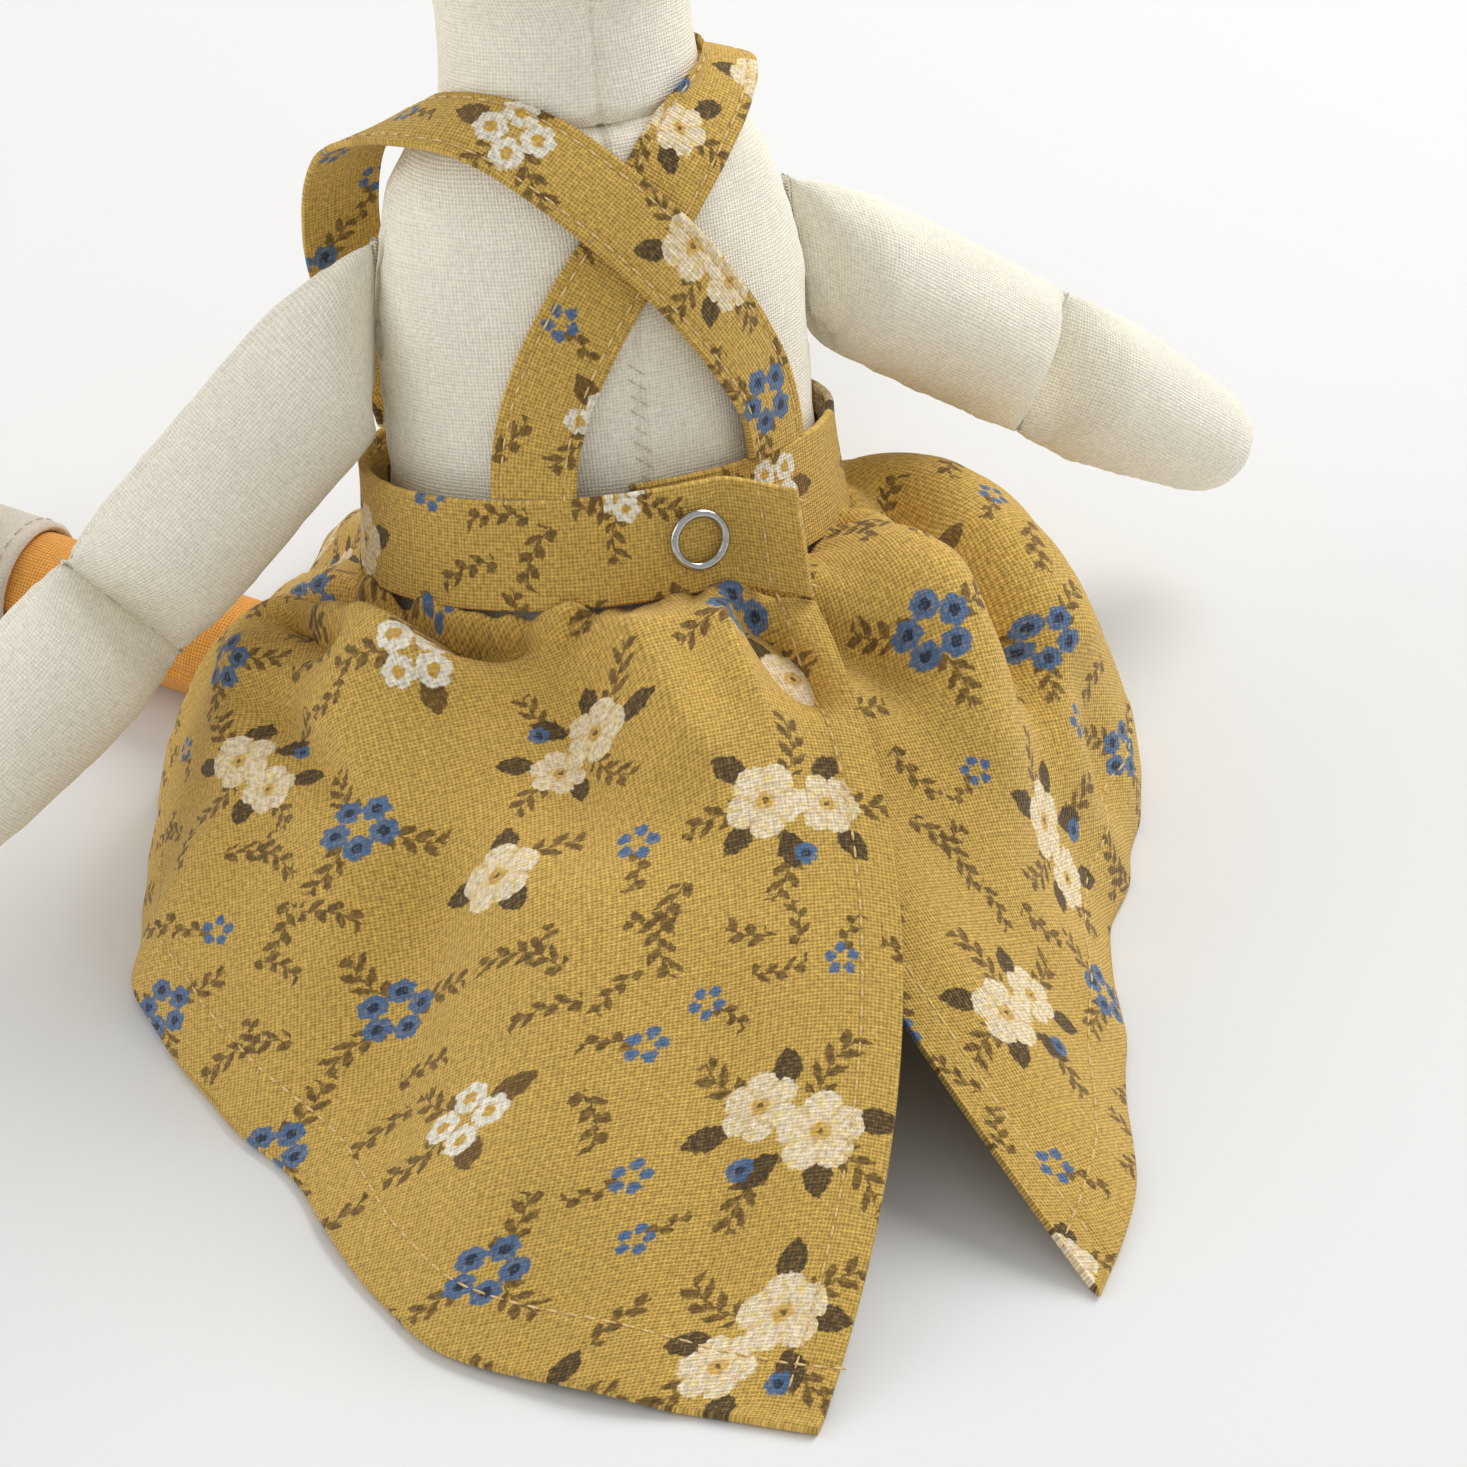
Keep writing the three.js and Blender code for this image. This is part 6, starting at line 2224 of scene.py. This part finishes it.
@dataclass
class Studio:
    """White sweep, soft light from above and the camera of the product picture."""

    floor_size: float = 8.0
    view_angle: float = math.radians(19.698)
    camera_place: Place = (138.219, 518.659, 427.205)
    camera_aim: Place = (-11.536, 28.833, 27.025)
    world_level: float = 0.58
    lamps: tuple[Lamp, ...] = (
        Lamp("key", 24.0, 1.2, (-1.2, -0.55, 1.38)), Lamp("fill", 9.0, 1.4, (1.6, -0.3, 0.75)))
    clip_start: float = 0.01

    def build(self) -> None:
        """Builds the floor, the lights and the camera."""
        half = self.floor_size / 2
        sweep = FloorFinish("white_sweep", linear(232, 232, 231), linear(237, 237, 236))
        mesh = bpy.data.meshes.new("floor")
        corners = [(-half, -half, 0), (half, -half, 0), (half, half, 0), (-half, half, 0)]
        mesh.from_pydata(corners, [], [(0, 1, 2, 3)])
        mesh.materials.append(sweep.material())
        floor = add_object("floor", mesh)
        for lamp in self.lamps:
            lamp.build()
        world = bpy.data.worlds.new("studio")
        world.use_nodes = True
        ground = world.node_tree.nodes["Background"]
        ground.inputs["Color"].default_value = (1.0, 1.0, 1.0, 1.0)
        ground.inputs["Strength"].default_value = self.world_level
        bpy.context.scene.world = world
        bpy.context.scene.view_settings.view_transform = "Standard"
        lens = bpy.data.cameras.new("camera")
        lens.angle = self.view_angle
        lens.clip_start = self.clip_start
        camera = add_object("camera", lens)
        camera.location = Vector(self.camera_place) * MM
        heading = Vector(self.camera_aim) - Vector(self.camera_place)
        camera.rotation_euler = heading.to_track_quat("-Z", "Y").to_euler()
        bpy.context.scene.camera = camera


LEFT_STRAP = np.array([
    [-37, 4, 2.2, -37, 4], [-36.5, 12, 2.3, -36, 4], [-33.5, 19, 2.4, -34, 5], [-25, 28, 2.8, -25, 8],
    [-15.5, 36.5, 4, -14, 12], [-5, 45, 4.3, -4, 18], [7.5, 52.5, 3.8, 8, 30], [26, 58.5, 3.2, 28, 47],
    [47, 62, 3.8, 55, 57], [71, 62.3, 5.4, 88, 66], [93, 59.8, 7.4, 130, 62], [109, 54.5, 8, 158, 34],
    [119.5, 45, 8.4, 167, 4], [126.5, 34, 8.2, 170, -6], [131, 21.5, 6, 164, -10], [134, 12, 4.2, 145, -4],
    [135, 4, 3.9, 138, 0],
], float)
RIGHT_STRAP = np.array([
    [28, 4, 4.8, 28, 4], [27.5, 12, 3.4, 27, 4], [25, 19, 2, 25, 5], [19, 27, 1.5, 19, 8],
    [10, 35.5, 1.4, 10, 10], [0, 42.6, 1.4, 0, 16], [-13, 50.6, 1.5, -12, 28], [-31, 57.2, 1.6, -30, 44],
    [-59, 62, 2.2, -62, 60], [-88, 64, 2.8, -88, 70], [-112, 62.5, 3.2, -130, 66],
    [-130, 56.5, 3.4, -166, 34], [-139, 46, 2.6, -162, 6], [-143, 34, 2, -154, 0],
    [-145, 21, 1.8, -150, -2], [-146, 11, 2, -148, -2], [-146, 4, 2.6, -146, 0],
], float)


def main() -> None:
    """Builds the duck, its dress and the studio."""
    logging.basicConfig(level=logging.INFO, format="%(message)s")
    layout = PrintLayout()
    body = DuckBody()
    band = Waistband(body, layout)
    Studio().build()
    body.build()
    Face(body).build()
    Arm(body, Side.LEFT, droop=math.radians(41), swing=math.radians(5)).build()
    Arm(body, Side.RIGHT, droop=math.radians(33), swing=math.radians(24)).build()
    for side in Side:
        Leg(side).build()
    band.build()
    RingSnap(band).build()
    Strap("left_strap", body, layout, LEFT_STRAP, (30.0, 300.0), flat_length=0.2).build()
    Strap("right_strap", body, layout, RIGHT_STRAP, (330.0, 300.0), flat_length=0.19).build()
    Skirt(body, band, layout).build()


if __name__ == "__main__":
    main()
